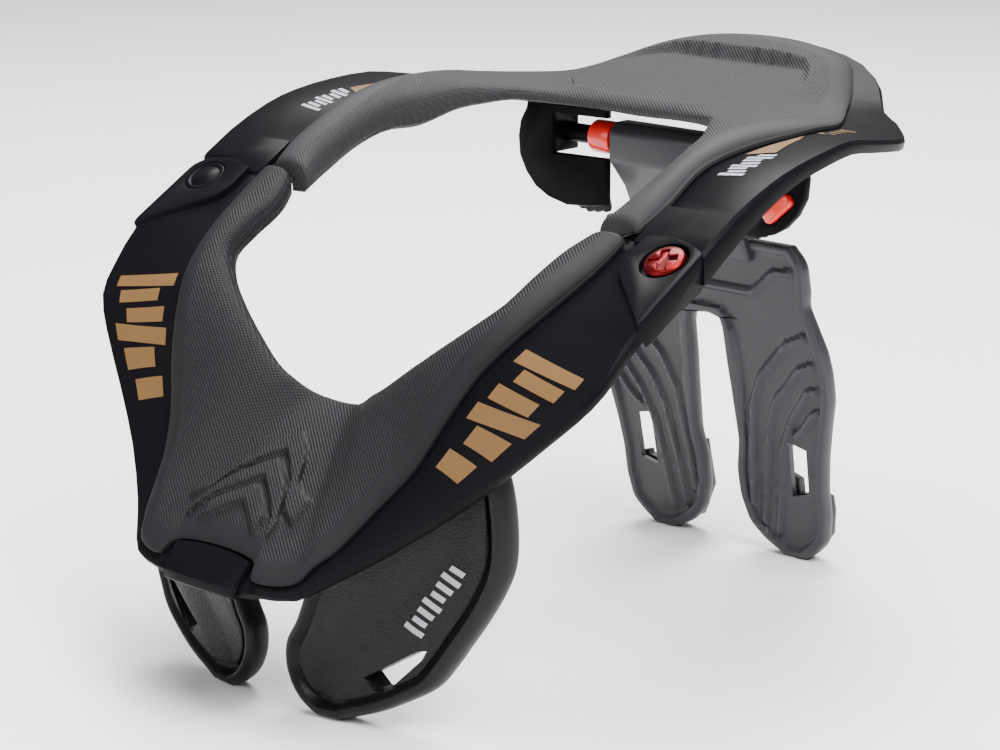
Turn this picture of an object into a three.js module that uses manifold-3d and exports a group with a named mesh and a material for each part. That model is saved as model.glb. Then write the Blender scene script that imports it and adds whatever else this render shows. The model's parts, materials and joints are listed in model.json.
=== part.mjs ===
// Motocross neck brace. Millimetres, +Z up, the chest side faces -Y, the wearer's left is +X.
// While it is built, y is 0 at the two joints between the front and the rear half.
import * as THREE from 'three';
import { mergeVertices } from 'three/addons/utils/BufferGeometryUtils.js';
import Module from 'manifold-3d';

const wasm = await Module();
wasm.setup();

// Driving sizes of the two halves
const frameHalfWidth = 132.7; // centre plane to the outer rim beside a joint
const jointHalfWidth = 120; // centre plane to the centre of a joint
const jointHeight = 172.7; // floor to the top of the joint boss at its centre
const frontReach = 116; // joints to the chest edge
const rearReach = 221; // joints to the rear edge
const tableHeight = 216; // floor to the top of the head table
const plate = 4; // wall of both frames
const skirtHeight = 14; // outer side wall beside the joints
const padDepth = 12; // full depth of a pad at its neck edge
const padEdge = 1.6; // depth of a pad at its outer line
const padRoll = -0.8; // how far its neck edge bulges past the line of its top
const padOverhang = 10; // how far a pad reaches in beyond its frame
const padFootInset = 2.6; // the foot of a pad's neck edge lies this far under it
const gap = 0.3; // between pieces that touch
const seatGap = 0.6; // between a pad and the plate it is bonded to

// Joint bosses
const jointSlope = THREE.MathUtils.degToRad(29.5);
const bossRise = 2; // boss top above the frame round it
const bossDepth = 11;
const bossInner = 17.5; // joint centre to the inner side of the boss
const bossOuter = 12.5;
const tongueHalf = 10;
const tongueTop = 4.8; // boss top to the top of the tongue
const tongueWall = 3;
const hingePinRadius = 5;
const hingeCapRadius = 8.4;
const hingeCapWall = 1.8;
const buttonRadius = 8;
const buttonRecessRadius = 9.6;
const buttonRecessDepth = 2.8;
const buttonTravel = 1.2;
const splitLine = 11; // joint centre to the line where the halves meet

// Chest wings
const wingReach = 97.5; // centre plane to the outer edge
const wingHeight = 108; // floor to the hidden top, before it is trimmed under the frame
const wingForward = 83; // joints to the front of a wing at its inner edge
const wingSweep = 24; // how far the outer edge lies behind the inner edge
const wingRim = 6.5; // width of the foam rim round the shell
const wingFoam = 11;
const wingShell = 2.6;
const wingRecess = 2.4;

// Back strut and what carries it
const pinY = 150; // joints to the tilt axis
const pinZ = 179; // floor to the tilt axis
const pinRadius = 4;
const sleeveRadius = 7;
const sleeveLength = 11;
const neckHalf = 28.5; // half width of the strut's neck
const windowReach = 29; // length of the gap that shows the pin
const yokeReach = 64; // centre plane to the widest point of a leg
const yokeTop = 142; // floor to the top edge of the plate
const yokeWall = 7;
const yokeFootY = 191; // joints to the front of a leg tip
const yokeLean = 0.187; // how far the legs lean back for each unit of height
const housingDepth = 4.5;
const housingReach = 76.5;
const footPadHeight = 44;
const footPadWall = 4;

// Colours as seen in daylight
const black = { color: 0x16141a, roughness: 0.5, metalness: 0 };
const foamGrey = { color: 0x5e5e62, roughness: 0.85, metalness: 0 };
const strutGrey = { color: 0x3c3a3e, roughness: 0.55, metalness: 0 };
const signalRed = { color: 0xd8341f, roughness: 0.4, metalness: 0 };
const anodisedRed = { color: 0x8a0c10, roughness: 0.25, metalness: 0.8 };

// Small helpers
const at = (x, y, z) => new THREE.Vector3(x, y, z);
const mirrored = (v) => at(-v.x, v.y, v.z);

// A closed body from sections with equal numbers of points, capped at both ends. Its faces are split
// the same way on both sides of the centre plane, so that a symmetric table gives a symmetric body.
function loft(sections) {
  const count = sections[0].length;
  const flat = sections.flat();
  const index = [];
  for (let s = 0; s + 1 < sections.length; s++) {
    for (let i = 0; i < count; i++) {
      const a = s * count + i;
      const b = s * count + ((i + 1) % count);
      const [c, d] = [a + count, b + count];
      if (flat[a].x + flat[c].x > 0) index.push(a, b, c, b, d, c);
      else index.push(a, b, d, a, d, c);
    }
  }
  capFaces(sections[0]).forEach(([a, b, c]) => index.push(c, b, a));
  const last = (sections.length - 1) * count;
  capFaces(sections.at(-1)).forEach(([a, b, c]) => index.push(last + a, last + b, last + c));
  const geometry = new THREE.BufferGeometry().setFromPoints(flat);
  geometry.setIndex(index);
  return facingOut(geometry);
}

// Triangles over one section, found in the section's own plane
function capFaces(points) {
  const normal = at(0, 0, 0);
  points.forEach((p, i) => normal.add(p.clone().cross(points[(i + 1) % points.length])));
  normal.normalize();
  const helper = Math.abs(normal.z) < 0.8 ? at(0, 0, 1) : at(0, 1, 0);
  const across = helper.clone().cross(normal).normalize();
  const along = normal.clone().cross(across);
  const outline = points.map((p) => new THREE.Vector2(p.dot(across), p.dot(along)));
  return THREE.ShapeUtils.triangulateShape(outline, []);
}

// Turns every face over when the body is inside out
function facingOut(geometry) {
  const position = geometry.attributes.position;
  const index = geometry.index.array;
  const corner = [at(0, 0, 0), at(0, 0, 0), at(0, 0, 0)];
  let volume = 0;
  for (let i = 0; i < index.length; i += 3) {
    corner.forEach((v, k) => v.fromBufferAttribute(position, index[i + k]));
    volume += corner[0].dot(corner[1].clone().cross(corner[2]));
  }
  if (volume < 0) {
    for (let i = 0; i < index.length; i += 3) {
      [index[i], index[i + 1]] = [index[i + 1], index[i]];
    }
  }
  return geometry;
}

// Solids for cutting and joining
function solid(geometry) {
  const bare = geometry.clone();
  bare.deleteAttribute('normal');
  bare.deleteAttribute('uv');
  const merged = mergeVertices(bare, 1e-4);
  const mesh = new wasm.Mesh({
    numProp: 3,
    vertProperties: new Float32Array(merged.attributes.position.array),
    triVerts: new Uint32Array(merged.index.array),
  });
  return new wasm.Manifold(mesh);
}

function geometryOf(manifold) {
  const mesh = manifold.getMesh();
  const geometry = new THREE.BufferGeometry();
  geometry.setAttribute('position', new THREE.BufferAttribute(new Float32Array(mesh.vertProperties), 3));
  geometry.setIndex(new THREE.BufferAttribute(new Uint32Array(mesh.triVerts), 1));
  return geometry;
}

// The largest connected piece of a solid
function mainPiece(manifold) {
  const pieces = manifold.decompose();
  return pieces.reduce((best, piece) => (piece.volume() > best.volume() ? piece : best));
}

// The same solid on the other side of the centre plane
function otherSide(manifold) {
  const geometry = geometryOf(manifold);
  geometry.scale(-1, 1, 1);
  return solid(facingOut(geometry));
}

// A prism from a plan outline, standing between two heights
function prism(outline, low, high) {
  const shape = new THREE.Shape(outline.map(([x, y]) => new THREE.Vector2(x, y)));
  const geometry = new THREE.ExtrudeGeometry(shape, { depth: high - low, bevelEnabled: false });
  return geometry.translate(0, 0, low);
}

// A prism whose rims are chamfered by one bevel
function bevelledPrism(outline, low, high, bevel) {
  const shape = new THREE.Shape(outline.map(([x, y]) => new THREE.Vector2(x, y)));
  const depth = high - low - 2 * bevel;
  const rim = { bevelThickness: bevel, bevelSize: bevel, bevelOffset: -bevel, bevelSegments: 2 };
  const geometry = new THREE.ExtrudeGeometry(shape, { depth, ...rim });
  return geometry.translate(0, 0, low + bevel);
}

// A body of revolution from [radius, height] steps, round the Z axis
function turned(steps, segments = 28) {
  const profile = steps.map(([radius, height]) => new THREE.Vector2(radius, height));
  return new THREE.LatheGeometry(profile, segments).rotateX(Math.PI / 2);
}

// Turns a body from the joint's own frame (x out, y back along the slope, z off the boss) into place
function atJoint(geometry, side) {
  return geometry.rotateX(jointSlope).translate(side * jointHalfWidth, 0, jointHeight);
}

// Main bands: rim, outer pad line and neck edge of each half.
// Columns: rim x y z, pad x y z, neck x y z, crown, wall, skirt. x is a share of frameHalfWidth, y of the
// half's reach, z of jointHeight (front) or tableHeight (rear), crown and wall of padDepth, skirt of
// skirtHeight. The first row lies a little past the joint, the last one on the centre plane.
const frontRows = [
  [1.0, -0.14, 1.04, 0.722, -0.09, 1.026, 0.62, -0.106, 1.028, 0.2, 0.6, 0.75],
  [0.997, 0.069, 0.962, 0.712, 0.052, 0.968, 0.569, 0.017, 0.979, 0.34, 0.6, 0.66],
  [0.992, 0.233, 0.901, 0.684, 0.207, 0.907, 0.561, 0.147, 0.935, 0.42, 0.6, 0.42],
  [0.986, 0.353, 0.816, 0.644, 0.353, 0.843, 0.55, 0.25, 0.892, 0.42, 0.6, 0.3],
  [0.961, 0.431, 0.759, 0.595, 0.453, 0.776, 0.49, 0.319, 0.848, 0.42, 0.6, 0.3],
  [0.885, 0.491, 0.692, 0.543, 0.534, 0.683, 0.407, 0.371, 0.799, 0.42, 0.68, 0.34],
  [0.739, 0.578, 0.585, 0.482, 0.605, 0.577, 0.317, 0.405, 0.747, 0.42, 0.68, 0.38],
  [0.591, 0.678, 0.489, 0.422, 0.698, 0.498, 0.226, 0.418, 0.695, 0.42, 0.68, 0.4],
  [0.45, 0.8, 0.401, 0.375, 0.806, 0.425, 0.165, 0.41, 0.668, 0.4, 0.68, 0.4],
  [0.385, 0.868, 0.358, 0.342, 0.868, 0.394, 0.118, 0.392, 0.646, 0.36, 0.68, 0.38],
  [0.313, 0.935, 0.321, 0.301, 0.925, 0.355, 0.082, 0.376, 0.634, 0.36, 0.68, 0.36],
  [0.203, 0.974, 0.314, 0.192, 0.968, 0.35, 0.054, 0.366, 0.629, 0.34, 0.68, 0.36],
  [0.139, 0.983, 0.314, 0.147, 0.921, 0.38, 0.028, 0.36, 0.626, 0.34, 0.68, 0.34],
  [0.0, 0.99, 0.314, 0.0, 0.91, 0.388, 0.0, 0.358, 0.625, 0.34, 0.68, 0.34],
];
const rearRows = [
  [1.0, 0.005, 0.801, 0.715, 0.066, 0.823, 0.58, 0.064, 0.822, 0.25, 0.75, 0.72],
  [1.0, 0.113, 0.866, 0.731, 0.127, 0.857, 0.599, 0.122, 0.838, 0.45, 0.72, 0.62],
  [1.0, 0.204, 0.904, 0.726, 0.208, 0.902, 0.601, 0.208, 0.872, 0.45, 0.7, 0.5],
  [0.995, 0.276, 0.923, 0.731, 0.271, 0.922, 0.583, 0.288, 0.905, 0.45, 0.8, 0.42],
  [0.982, 0.362, 0.935, 0.745, 0.353, 0.935, 0.543, 0.348, 0.918, 0.45, 0.9, 0.38],
  [0.957, 0.452, 0.94, 0.752, 0.448, 0.94, 0.49, 0.412, 0.936, 0.34, 0.7, 0.36],
  [0.931, 0.534, 0.928, 0.748, 0.525, 0.941, 0.43, 0.466, 0.936, 0.26, 0.5, 0.34],
  [0.897, 0.624, 0.914, 0.716, 0.606, 0.934, 0.392, 0.498, 0.936, 0.2, 0.42, 0.32],
  [0.848, 0.701, 0.905, 0.648, 0.679, 0.93, 0.354, 0.52, 0.933, 0.18, 0.42, 0.32],
  [0.731, 0.781, 0.911, 0.558, 0.76, 0.928, 0.317, 0.534, 0.931, 0.2, 0.42, 0.3],
  [0.599, 0.846, 0.919, 0.497, 0.821, 0.936, 0.279, 0.542, 0.929, 0.28, 0.42, 0.32],
  [0.505, 0.912, 0.949, 0.43, 0.882, 0.955, 0.241, 0.552, 0.926, 0.36, 0.42, 0.36],
  [0.384, 0.959, 0.979, 0.339, 0.943, 0.982, 0.188, 0.561, 0.924, 0.4, 0.42, 0.4],
  [0.211, 0.982, 0.997, 0.188, 0.966, 1.001, 0.136, 0.57, 0.922, 0.4, 0.42, 0.4],
  [0.0, 0.998, 0.999, 0.0, 0.982, 1.006, 0.0, 0.575, 0.919, 0.4, 0.42, 0.4],
];

// Even stations along a band, from the left joint round the centre to the right joint
function stations(rows, reach, height, perSpan) {
  const place = (row, k) => at(row[k] * frameHalfWidth, row[k + 1] * reach, row[k + 2] * height);
  const half = rows.map((row) => ({
    rim: place(row, 0),
    pad: place(row, 3),
    neck: place(row, 6),
    trim: at(row[9] * padDepth, row[10] * padDepth, row[11] * skirtHeight),
  }));
  const reflected = half.slice(0, -1).map((row) => ({
    rim: mirrored(row.rim),
    pad: mirrored(row.pad),
    neck: mirrored(row.neck),
    trim: row.trim,
  }));
  const all = [...half, ...reflected.reverse()];
  const curves = {};
  for (const key of ['rim', 'pad', 'neck', 'trim']) {
    curves[key] = new THREE.CatmullRomCurve3(all.map((row) => row[key]), false, 'catmullrom', 0.5);
  }
  const steps = (all.length - 1) * perSpan;
  const list = Array.from({ length: steps + 1 }, (_, i) => ({
    rim: curves.rim.getPoint(i / steps),
    pad: curves.pad.getPoint(i / steps),
    neck: curves.neck.getPoint(i / steps),
    trim: curves.trim.getPoint(i / steps),
  }));
  return list.map((station, i) => withNormals(station, list, i, Math.sign(reach)));
}

// Directions of a station: over the pad, out over the frame, and off both surfaces
function withNormals(station, list, i, turn) {
  const next = list[Math.min(i + 1, list.length - 1)];
  const last = list[Math.max(i - 1, 0)];
  const run = next.pad.clone().add(next.rim).sub(last.pad).sub(last.rim).normalize();
  const over = station.pad.clone().sub(station.neck).normalize();
  const out = station.rim.clone().sub(station.pad).normalize();
  const offPad = over.clone().cross(run).multiplyScalar(turn).normalize();
  const offRim = out.clone().cross(run).multiplyScalar(turn).normalize();
  const offLine = offPad.clone().add(offRim).normalize();
  return { ...station, over, out, offPad, offRim, offLine };
}

const frontBand = stations(frontRows, -frontReach, jointHeight, 2);
const rearBand = stations(rearRows, rearReach, tableHeight, 2);

// A point of a station, moved along its own directions
const moved = (point, ...moves) => moves.reduce((p, [dir, by]) => p.addScaledVector(dir, by), point.clone());

// The frame's section: plate under the pad, open band, rounded rim and skirt
function frameSection(s, grow = 0) {
  const wall = s.trim.y;
  const skirt = s.trim.z;
  const rimRound = 1.4;
  const inset = padOverhang - grow;
  const footIn = plate - 0.6;
  return [
    moved(s.neck, [s.over, inset], [s.offPad, plate - wall + grow]),
    moved(s.pad, [s.offLine, grow - padEdge - gap]),
    moved(s.rim, [s.out, grow - rimRound], [s.offRim, grow]),
    moved(s.rim, [s.out, grow], [s.offRim, grow - rimRound]),
    moved(s.rim, [s.out, grow], [s.offRim, -skirt - grow]),
    moved(s.rim, [s.out, -footIn - grow], [s.offRim, -skirt - grow]),
    moved(s.rim, [s.out, -plate - grow], [s.offRim, -plate - grow]),
    moved(s.pad, [s.offLine, -plate - padEdge - gap - grow]),
    moved(s.neck, [s.over, inset], [s.offPad, -wall - grow]),
  ];
}

// The pad's section: bevelled outer line, crowned top, rolled neck edge and seat
const crownSteps = [0.08, 0.2, 0.36, 0.6, 0.8, 0.94];
const crownShape = (u) => (1 - Math.abs(2 * u - 1) ** 2.6) ** 0.6;
function padSection(s) {
  const crown = s.trim.x;
  const wall = s.trim.y;
  const seatIn = padOverhang - seatGap;
  const top = crownSteps.map((u) =>
    s.pad.clone().lerp(s.neck, u).addScaledVector(s.offPad, crown * crownShape(u)),
  );
  return [
    moved(s.pad, [s.offLine, -padEdge]),
    s.pad.clone(),
    ...top,
    moved(s.neck, [s.offPad, 0]),
    moved(s.neck, [s.over, padRoll], [s.offPad, -wall * 0.4]),
    moved(s.neck, [s.over, padFootInset], [s.offPad, -wall]),
    moved(s.neck, [s.over, seatIn], [s.offPad, -wall]),
    moved(s.neck, [s.over, seatIn], [s.offPad, plate - wall + seatGap]),
  ];
}

const frontFrameLoft = solid(loft(frontBand.map((s) => frameSection(s))));
const rearFrameLoft = solid(loft(rearBand.map((s) => frameSection(s))));
const frontClearance = solid(loft(frontBand.map((s) => frameSection(s, gap))));
const rearClearance = solid(loft(rearBand.map((s) => frameSection(s, gap))));

// Where the halves meet, in plan. The latch side curves round its boss, the hinge side is straight.
const splitLatch = [[80, 8], [97, 8.2], [104, 9.8], [114, splitLine], [121, 10.2], [127, 8.4], [140, 3]];
const splitHinge = [[-140, splitLine], [-110, splitLine], [-106, 9], [-102, 9], [-91, splitLine], [-80, splitLine]];
const splitPlan = [...splitHinge, [-60, splitLine], [60, 8], ...splitLatch];
const farAway = 400;
const behindSplit = (shift) => {
  const line = splitPlan.map(([x, y]) => [x, y + shift]);
  return solid(prism([[-farAway, splitLine], ...line, [farAway, 3], [farAway, farAway], [-farAway, farAway]], 0, farAway));
};
const aheadOfSplit = (shift) => {
  const line = splitPlan.map(([x, y]) => [x, y + shift]).reverse();
  return solid(prism([[farAway, 3], ...line, [-farAway, splitLine], [-farAway, -farAway], [farAway, -farAway]], 0, farAway));
};

// Parts of a joint, in its own frame. u points outwards on both sides.
const bossOutline = (side) =>
  [[-bossInner + 1, 16], [-bossInner, -1], [-bossInner + 2, -9], [-3, -20], [bossOuter - 1, -33], [bossOuter, -30],
    [bossOuter, 16]].map(([u, v]) => [u * side, v]);
const boxOutline = (u0, u1, v0, v1, side) =>
  [[u0, v0], [u1, v0], [u1, v1], [u0, v1]].map(([u, v]) => [u * side, v]);
const placed = (geometry, side) => solid(facingOut(indexed(atJoint(geometry, side))));
const indexed = (geometry) => mergeVertices(stripped(geometry), 1e-4);
function stripped(geometry) {
  geometry.deleteAttribute('normal');
  geometry.deleteAttribute('uv');
  return geometry;
}
const disc = (radius, low, high, segments = 28) =>
  turned([[0, low], [radius, low], [radius, high], [0, high]], segments);

const frontBoss = (side) => placed(bevelledPrism(bossOutline(side), -bossDepth, 0, 1), side);
const rearBoss = (side) => {
  const outline = boxOutline(-bossInner - 4, bossOuter - 0.6, splitLine - 6, 30, side);
  return placed(prism(outline, -bossDepth + 1, -bossRise), side);
};
const tongue = (side) => {
  const strap = placed(prism(boxOutline(-tongueHalf, tongueHalf, 0, 24, side), -tongueTop - tongueWall, -tongueTop), side);
  return strap.add(placed(disc(tongueHalf, -tongueTop - tongueWall, -tongueTop), side));
};
const tongueSlot = (side) => {
  const reach = side > 0 ? tongueHalf + 0.4 : tongueHalf + 12; // the hinge's slot is open on the outer side
  const outline = boxOutline(-tongueHalf - 3, reach, -tongueHalf - 1.5, 40, side);
  return placed(prism(outline, -tongueTop - tongueWall - 0.4, -tongueTop + 0.4), side);
};

// Front half
const cornerTurn = bossOuter - 0.1; // round corner of the boss that sweeps past the rear half
const cornerCut = placed(prism(boxOutline(0, 30, 0, 40, -1), -40, 20), -1)
  .subtract(placed(disc(cornerTurn, -41, 21), -1));
const boreDepth = tongueTop + tongueWall + 1.6;
const pinBore = placed(disc(hingePinRadius + gap, -boreDepth, 1), -1);
const capRecess = placed(disc(hingeCapRadius + 0.4, -hingeCapWall - gap, 4), -1);
const buttonRecess = placed(disc(buttonRecessRadius, -buttonRecessDepth, 4), 1);
const buttonBore = placed(disc(hingePinRadius + gap, -tongueTop - 1, 4), 1);
const frontFrame = mainPiece(
  frontFrameLoft
    .add(frontBoss(1))
    .add(frontBoss(-1))
    .subtract(behindSplit(-gap / 2))
    .subtract(tongueSlot(1))
    .subtract(tongueSlot(-1))
    .subtract(cornerCut)
    .subtract(pinBore)
    .subtract(capRecess)
    .subtract(buttonRecess)
    .subtract(buttonBore),
);
const frontPad = mainPiece(
  solid(loft(frontBand.map(padSection)))
    .subtract(frontClearance)
    .subtract(frontFrameLoft)
    .subtract(behindSplit(-gap / 2)),
);

// Dark tab on the chest edge, in the hollow of the pad
const tabHalf = 21;
const tabWall = 2.6;
const tabBand = frontBand.filter((s) => Math.abs(s.rim.x) < tabHalf + 1);
function tabSection(s) {
  const top = moved(s.pad, [s.out, 1], [s.offRim, -padEdge]);
  const front = s.rim.clone();
  return [
    top,
    moved(top, [s.offRim, tabWall]),
    moved(front, [s.out, -1], [s.offRim, tabWall + gap]),
    moved(front, [s.out, 1.6], [s.offRim, tabWall * 0.4]),
    moved(front, [s.out, 1.6], [s.offRim, -1.5]),
    moved(front, [s.out, gap], [s.offRim, -1.5]),
    moved(front, [s.out, gap], [s.offRim, gap]),
  ];
}
const frontTab = solid(loft(tabBand.map(tabSection))).subtract(frontClearance).subtract(frontPad);

// Rear half
const hingeSweep = placed(disc(bossOuter + 2, -60, 40), -1);
const tongueHole = placed(disc(hingePinRadius + gap + 0.1, -boreDepth - 4, 1), -1);
const joinedRear = rearFrameLoft
  .add(rearBoss(1))
  .add(rearBoss(-1))
  .subtract(aheadOfSplit(gap / 2))
  .subtract(hingeSweep);
const rearFrame = mainPiece(joinedRear.add(tongue(1)).add(tongue(-1)).subtract(tongueHole));
// Shallow pocket in the head table: a tapering plan whose floor comes out level with the pad at the front
const pocketBackY = 194;
const pocketFloorZ = 213.2;
const pocketSlope = THREE.MathUtils.degToRad(7);
const pocketHalf = [[0, 30], [33, 30], [38, 25], [47, -2], [46, -22], [36, -34], [0, -36]]; // half width, y off the back
const pocketPlan = [...pocketHalf, ...pocketHalf.slice(1, -1).reverse().map(([x, y]) => [-x, y])]
  .map(([x, y]) => [x, y - 30]);
const tablePocket = solid(
  prism(pocketPlan, 0, 30).rotateX(pocketSlope).translate(0, pocketBackY, pocketFloorZ),
);
const rearPadClear = 2.5; // the rear pad stops this far behind the line where the halves meet
const rearPad = solid(loft(rearBand.map(padSection)))
  .subtract(aheadOfSplit(rearPadClear))
  .subtract(tablePocket);

// Button of the latch and cap of the hinge, each with its pin
const shankEnd = -tongueTop + buttonTravel + gap; // pressed in, it stays clear of the tongue
const domeSteps = [[0, shankEnd], [hingePinRadius, shankEnd], [hingePinRadius, -1.1], [buttonRadius, -1.1], [buttonRadius, -0.2], [buttonRadius * 0.92, 0.5],
  [buttonRadius * 0.7, 1], [buttonRadius * 0.36, 1.3], [0, 1.4]];
const releaseButton = placed(turned(domeSteps, 32), 1);
const capSteps = [[0, -boreDepth + gap], [hingePinRadius, -boreDepth + gap], [hingePinRadius, -hingeCapWall],
  [hingeCapRadius, -hingeCapWall], [hingeCapRadius, -0.3], [hingeCapRadius - 0.4, 0.1], [0, 0.1]];
const hingeCap = placed(turned(capSteps, 36), -1);

// Chest wings. Columns: height, inner edge, crease, outer edge, as shares of wingHeight and wingReach.
const wingRows = [
  [0.0, 0.24, 0.29, 0.34],
  [0.022, 0.19, 0.27, 0.4],
  [0.055, 0.145, 0.24, 0.5],
  [0.1, 0.11, 0.25, 0.6],
  [0.167, 0.085, 0.28, 0.72],
  [0.25, 0.09, 0.37, 0.79],
  [0.33, 0.14, 0.46, 0.845],
  [0.42, 0.18, 0.55, 0.905],
  [0.52, 0.22, 0.66, 0.96],
  [0.62, 0.26, 0.76, 0.995],
  [0.74, 0.33, 0.82, 1.0],
  [0.88, 0.48, 0.85, 0.985],
  [1.0, 0.66, 0.82, 0.95],
];
const creaseDepth = 2.2;
const wingFace = (x) => wingSweep * (x / wingReach) ** 2 - wingForward;
function wingFoamSection([height, inner, crease, outer], i) {
  const z = height * wingHeight;
  const [x0, xc, x1] = [inner * wingReach, crease * wingReach, outer * wingReach];
  const sink = i < 2 ? 0 : wingRecess;
  const fold = i < 2 ? 0 : creaseDepth;
  const rim = Math.min(wingRim, (x1 - x0) * 0.32);
  const round = 0.35 * rim;
  const front = (x, depth) => at(x, wingFace(x) + depth, z);
  return [
    front(x0, 0.45 * wingFoam),
    front(x0 + round * 0.4, 1.2),
    front(x0 + round * 1.6, 0),
    front(x0 + rim, sink),
    front(xc, sink + fold),
    front(x1 - rim, sink),
    front(x1 - round * 1.6, 0),
    front(x1 - round * 0.4, 1.2),
    front(x1, 0.45 * wingFoam),
    front(x1 - round * 1.4, wingFoam),
    front(x0 + round * 1.4, wingFoam),
  ];
}
function wingShellSection([height, inner, crease, outer], i, grow = 0) {
  const z = height * wingHeight - (i === 0 ? grow : 0);
  const inset = wingRim + gap - grow;
  const [x0, xc, x1] = [inner * wingReach + inset, crease * wingReach, outer * wingReach - inset];
  const back = wingRecess - gap + grow;
  const front = (x, depth) => at(x, wingFace(x) + depth, z);
  return [
    front(x0, back - wingShell - 4 * grow),
    front(xc, back - wingShell + creaseDepth - 4 * grow),
    front(x1, back - wingShell - 4 * grow),
    front(x1, back),
    front(xc, back + creaseDepth),
    front(x0, back),
  ];
}
const shellRows = wingRows.slice(3);
const shellClearance = solid(loft(shellRows.map((row, i) => wingShellSection(row, i, gap))));
const wingSlot = [[0.46, 0.18], [0.5, 0.14], [0.55, 0.14], [0.695, 0.275], [0.715, 0.31], [0.68, 0.305]];
const slotOutline = wingSlot.map(([x, z]) => [x * wingReach, z * wingHeight]);
const slotCut = solid(indexed(prism(slotOutline, 20, 120).rotateX(Math.PI / 2)));
const wingFoamBody = mainPiece(
  solid(loft(wingRows.map(wingFoamSection)))
    .subtract(shellClearance)
    .subtract(slotCut)
    .subtract(frontClearance)
    .subtract(frontPad),
);
const wingShellBody = mainPiece(
  solid(loft(shellRows.map((row, i) => wingShellSection(row, i))))
    .subtract(slotCut)
    .subtract(frontClearance)
    .subtract(frontPad),
);

// Back strut: a leaning plate with two legs, and a neck that turns on the two pins.
// Columns: x as a share of yokeReach, height as a share of yokeTop. The right half, from the top centre.
const yokeHalf = [
  [0.0, 1.0], [0.76, 1.0], [0.83, 0.97], [0.86, 0.94], [0.865, 0.85], [0.845, 0.82], [0.96, 0.685], [0.985, 0.62],
  [0.985, 0.535], [0.93, 0.43], [0.89, 0.338], [0.865, 0.246], [0.865, 0.155], [0.83, 0.07], [0.72, 0.021],
  [0.64, 0.0], [0.49, 0.0], [0.34, 0.028], [0.2, 0.085], [0.14, 0.17], [0.133, 0.254], [0.172, 0.352],
  [0.162, 0.437], [0.153, 0.514], [0.14, 0.592], [0.134, 0.669], [0.13, 0.712], [0.105, 0.737], [0.0, 0.741],
];
const yokePoints = yokeHalf.map(([x, z]) => [x * yokeReach, z * yokeTop]);
const yokeOutline = [...yokePoints, ...yokePoints.slice(1, -1).reverse().map(([x, z]) => [-x, z])];
const yokeY = (z) => yokeFootY - yokeLean * z; // front face of the plate at a height
// Leans a body that was extruded towards -Y, so that its front face follows the plate
function leaning(geometry, setBack) {
  const position = geometry.attributes.position;
  for (let i = 0; i < position.count; i++) {
    position.setY(i, yokeY(position.getZ(i)) + setBack - position.getY(i));
  }
  return geometry;
}
const upright = (outline, wall, bevel) => bevelledPrism(outline, 0, wall, bevel).rotateX(Math.PI / 2);
const yokePlate = solid(facingOut(indexed(leaning(upright(yokeOutline, yokeWall, 1.5), 0))));
const legSlot = [[0.59, 0.375], [0.73, 0.36], [0.72, 0.215], [0.58, 0.2]].map(([x, z]) => [x * yokeReach, z * yokeTop]);
const legSlotCut = solid(indexed(prism(legSlot, -260, -100).rotateX(Math.PI / 2)));
const neckProfile = [
  [yokeY(yokeTop) + 1, yokeTop - 10], [yokeY(yokeTop) + yokeWall, yokeTop - 10], [pinY + 14, pinZ - 16],
  [pinY + 9, pinZ + 5], [pinY + 4, pinZ + 8], [pinY - 4, pinZ + 8], [pinY - 8, pinZ + 4], [pinY - 8, pinZ - 8],
  [pinY + 2, pinZ - 20],
];
function sideProfile(profile, halfWidth) {
  const flat = prism(profile, -halfWidth, halfWidth);
  return solid(facingOut(indexed(flat.rotateZ(Math.PI / 2).rotateY(Math.PI / 2))));
}
const lateral = (radius, x0, x1, segments = 20) =>
  solid(facingOut(indexed(disc(radius, x0, x1, segments).rotateY(Math.PI / 2).translate(0, pinY, pinZ))));
const neckBody = sideProfile(neckProfile, neckHalf);
const yokeBody = yokePlate
  .add(neckBody)
  .subtract(legSlotCut)
  .subtract(otherSide(legSlotCut))
  .subtract(lateral(pinRadius + gap, -neckHalf - 5, neckHalf + 5));

// Backing at the leg tips
const footPadOutline = [[0.18, 0.16], [0.3, 0.05], [0.49, 0.012], [0.62, 0.012], [0.72, 0.04], [0.81, 0.09],
  [0.84, 0.17], [0.83, 0.215], [0.2, footPadHeight / yokeTop]].map(([x, z]) => [x * yokeReach, z * yokeTop]);
const footPad = solid(facingOut(indexed(leaning(upright(footPadOutline, footPadWall, 1.5), yokeWall + gap))))
  .subtract(legSlotCut);

// Housings of the tilt pins: side plates under the rear frame, open towards the strut's neck.
// Columns: x as a share of housingReach, height above the floor as a share of pinZ.
const housingRows = [
  [0.4, 1.14], [0.9, 1.14], [0.94, 1.056], [0.985, 1.022], [1.0, 0.985], [0.99, 0.94], [0.94, 0.9],
  [0.87, 0.869], [0.78, 0.848], [0.66, 0.834], [0.5, 0.838], [0.4, 0.845],
];
const windowFoot = pinZ - 8;
const windowTop = pinZ + 9;
const housingOutline = [
  ...housingRows.map(([x, z]) => [x * housingReach, z * pinZ]),
  [0.4 * housingReach, windowFoot],
  [neckHalf + windowReach, windowFoot],
  [neckHalf + windowReach, windowTop],
  [0.4 * housingReach, windowTop],
];
const housingFold = 0.82 * housingReach; // the ridge between its inner and its outer face
const housingSlope = 0.12; // its inner part lies further back
function folded(geometry, ridge, slope, front) {
  const position = geometry.attributes.position;
  for (let i = 0; i < position.count; i++) {
    const x = Math.abs(position.getX(i));
    position.setY(i, front - position.getY(i) + slope * Math.max(ridge - x, 0));
  }
  return geometry;
}
const housingFront = pinY - 11;
const housingShape = (depth) =>
  solid(facingOut(indexed(folded(upright(housingOutline, depth, 1.2), housingFold, housingSlope, housingFront))));
const pinBossLength = 7;
const pinSeatDepth = 5;
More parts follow.
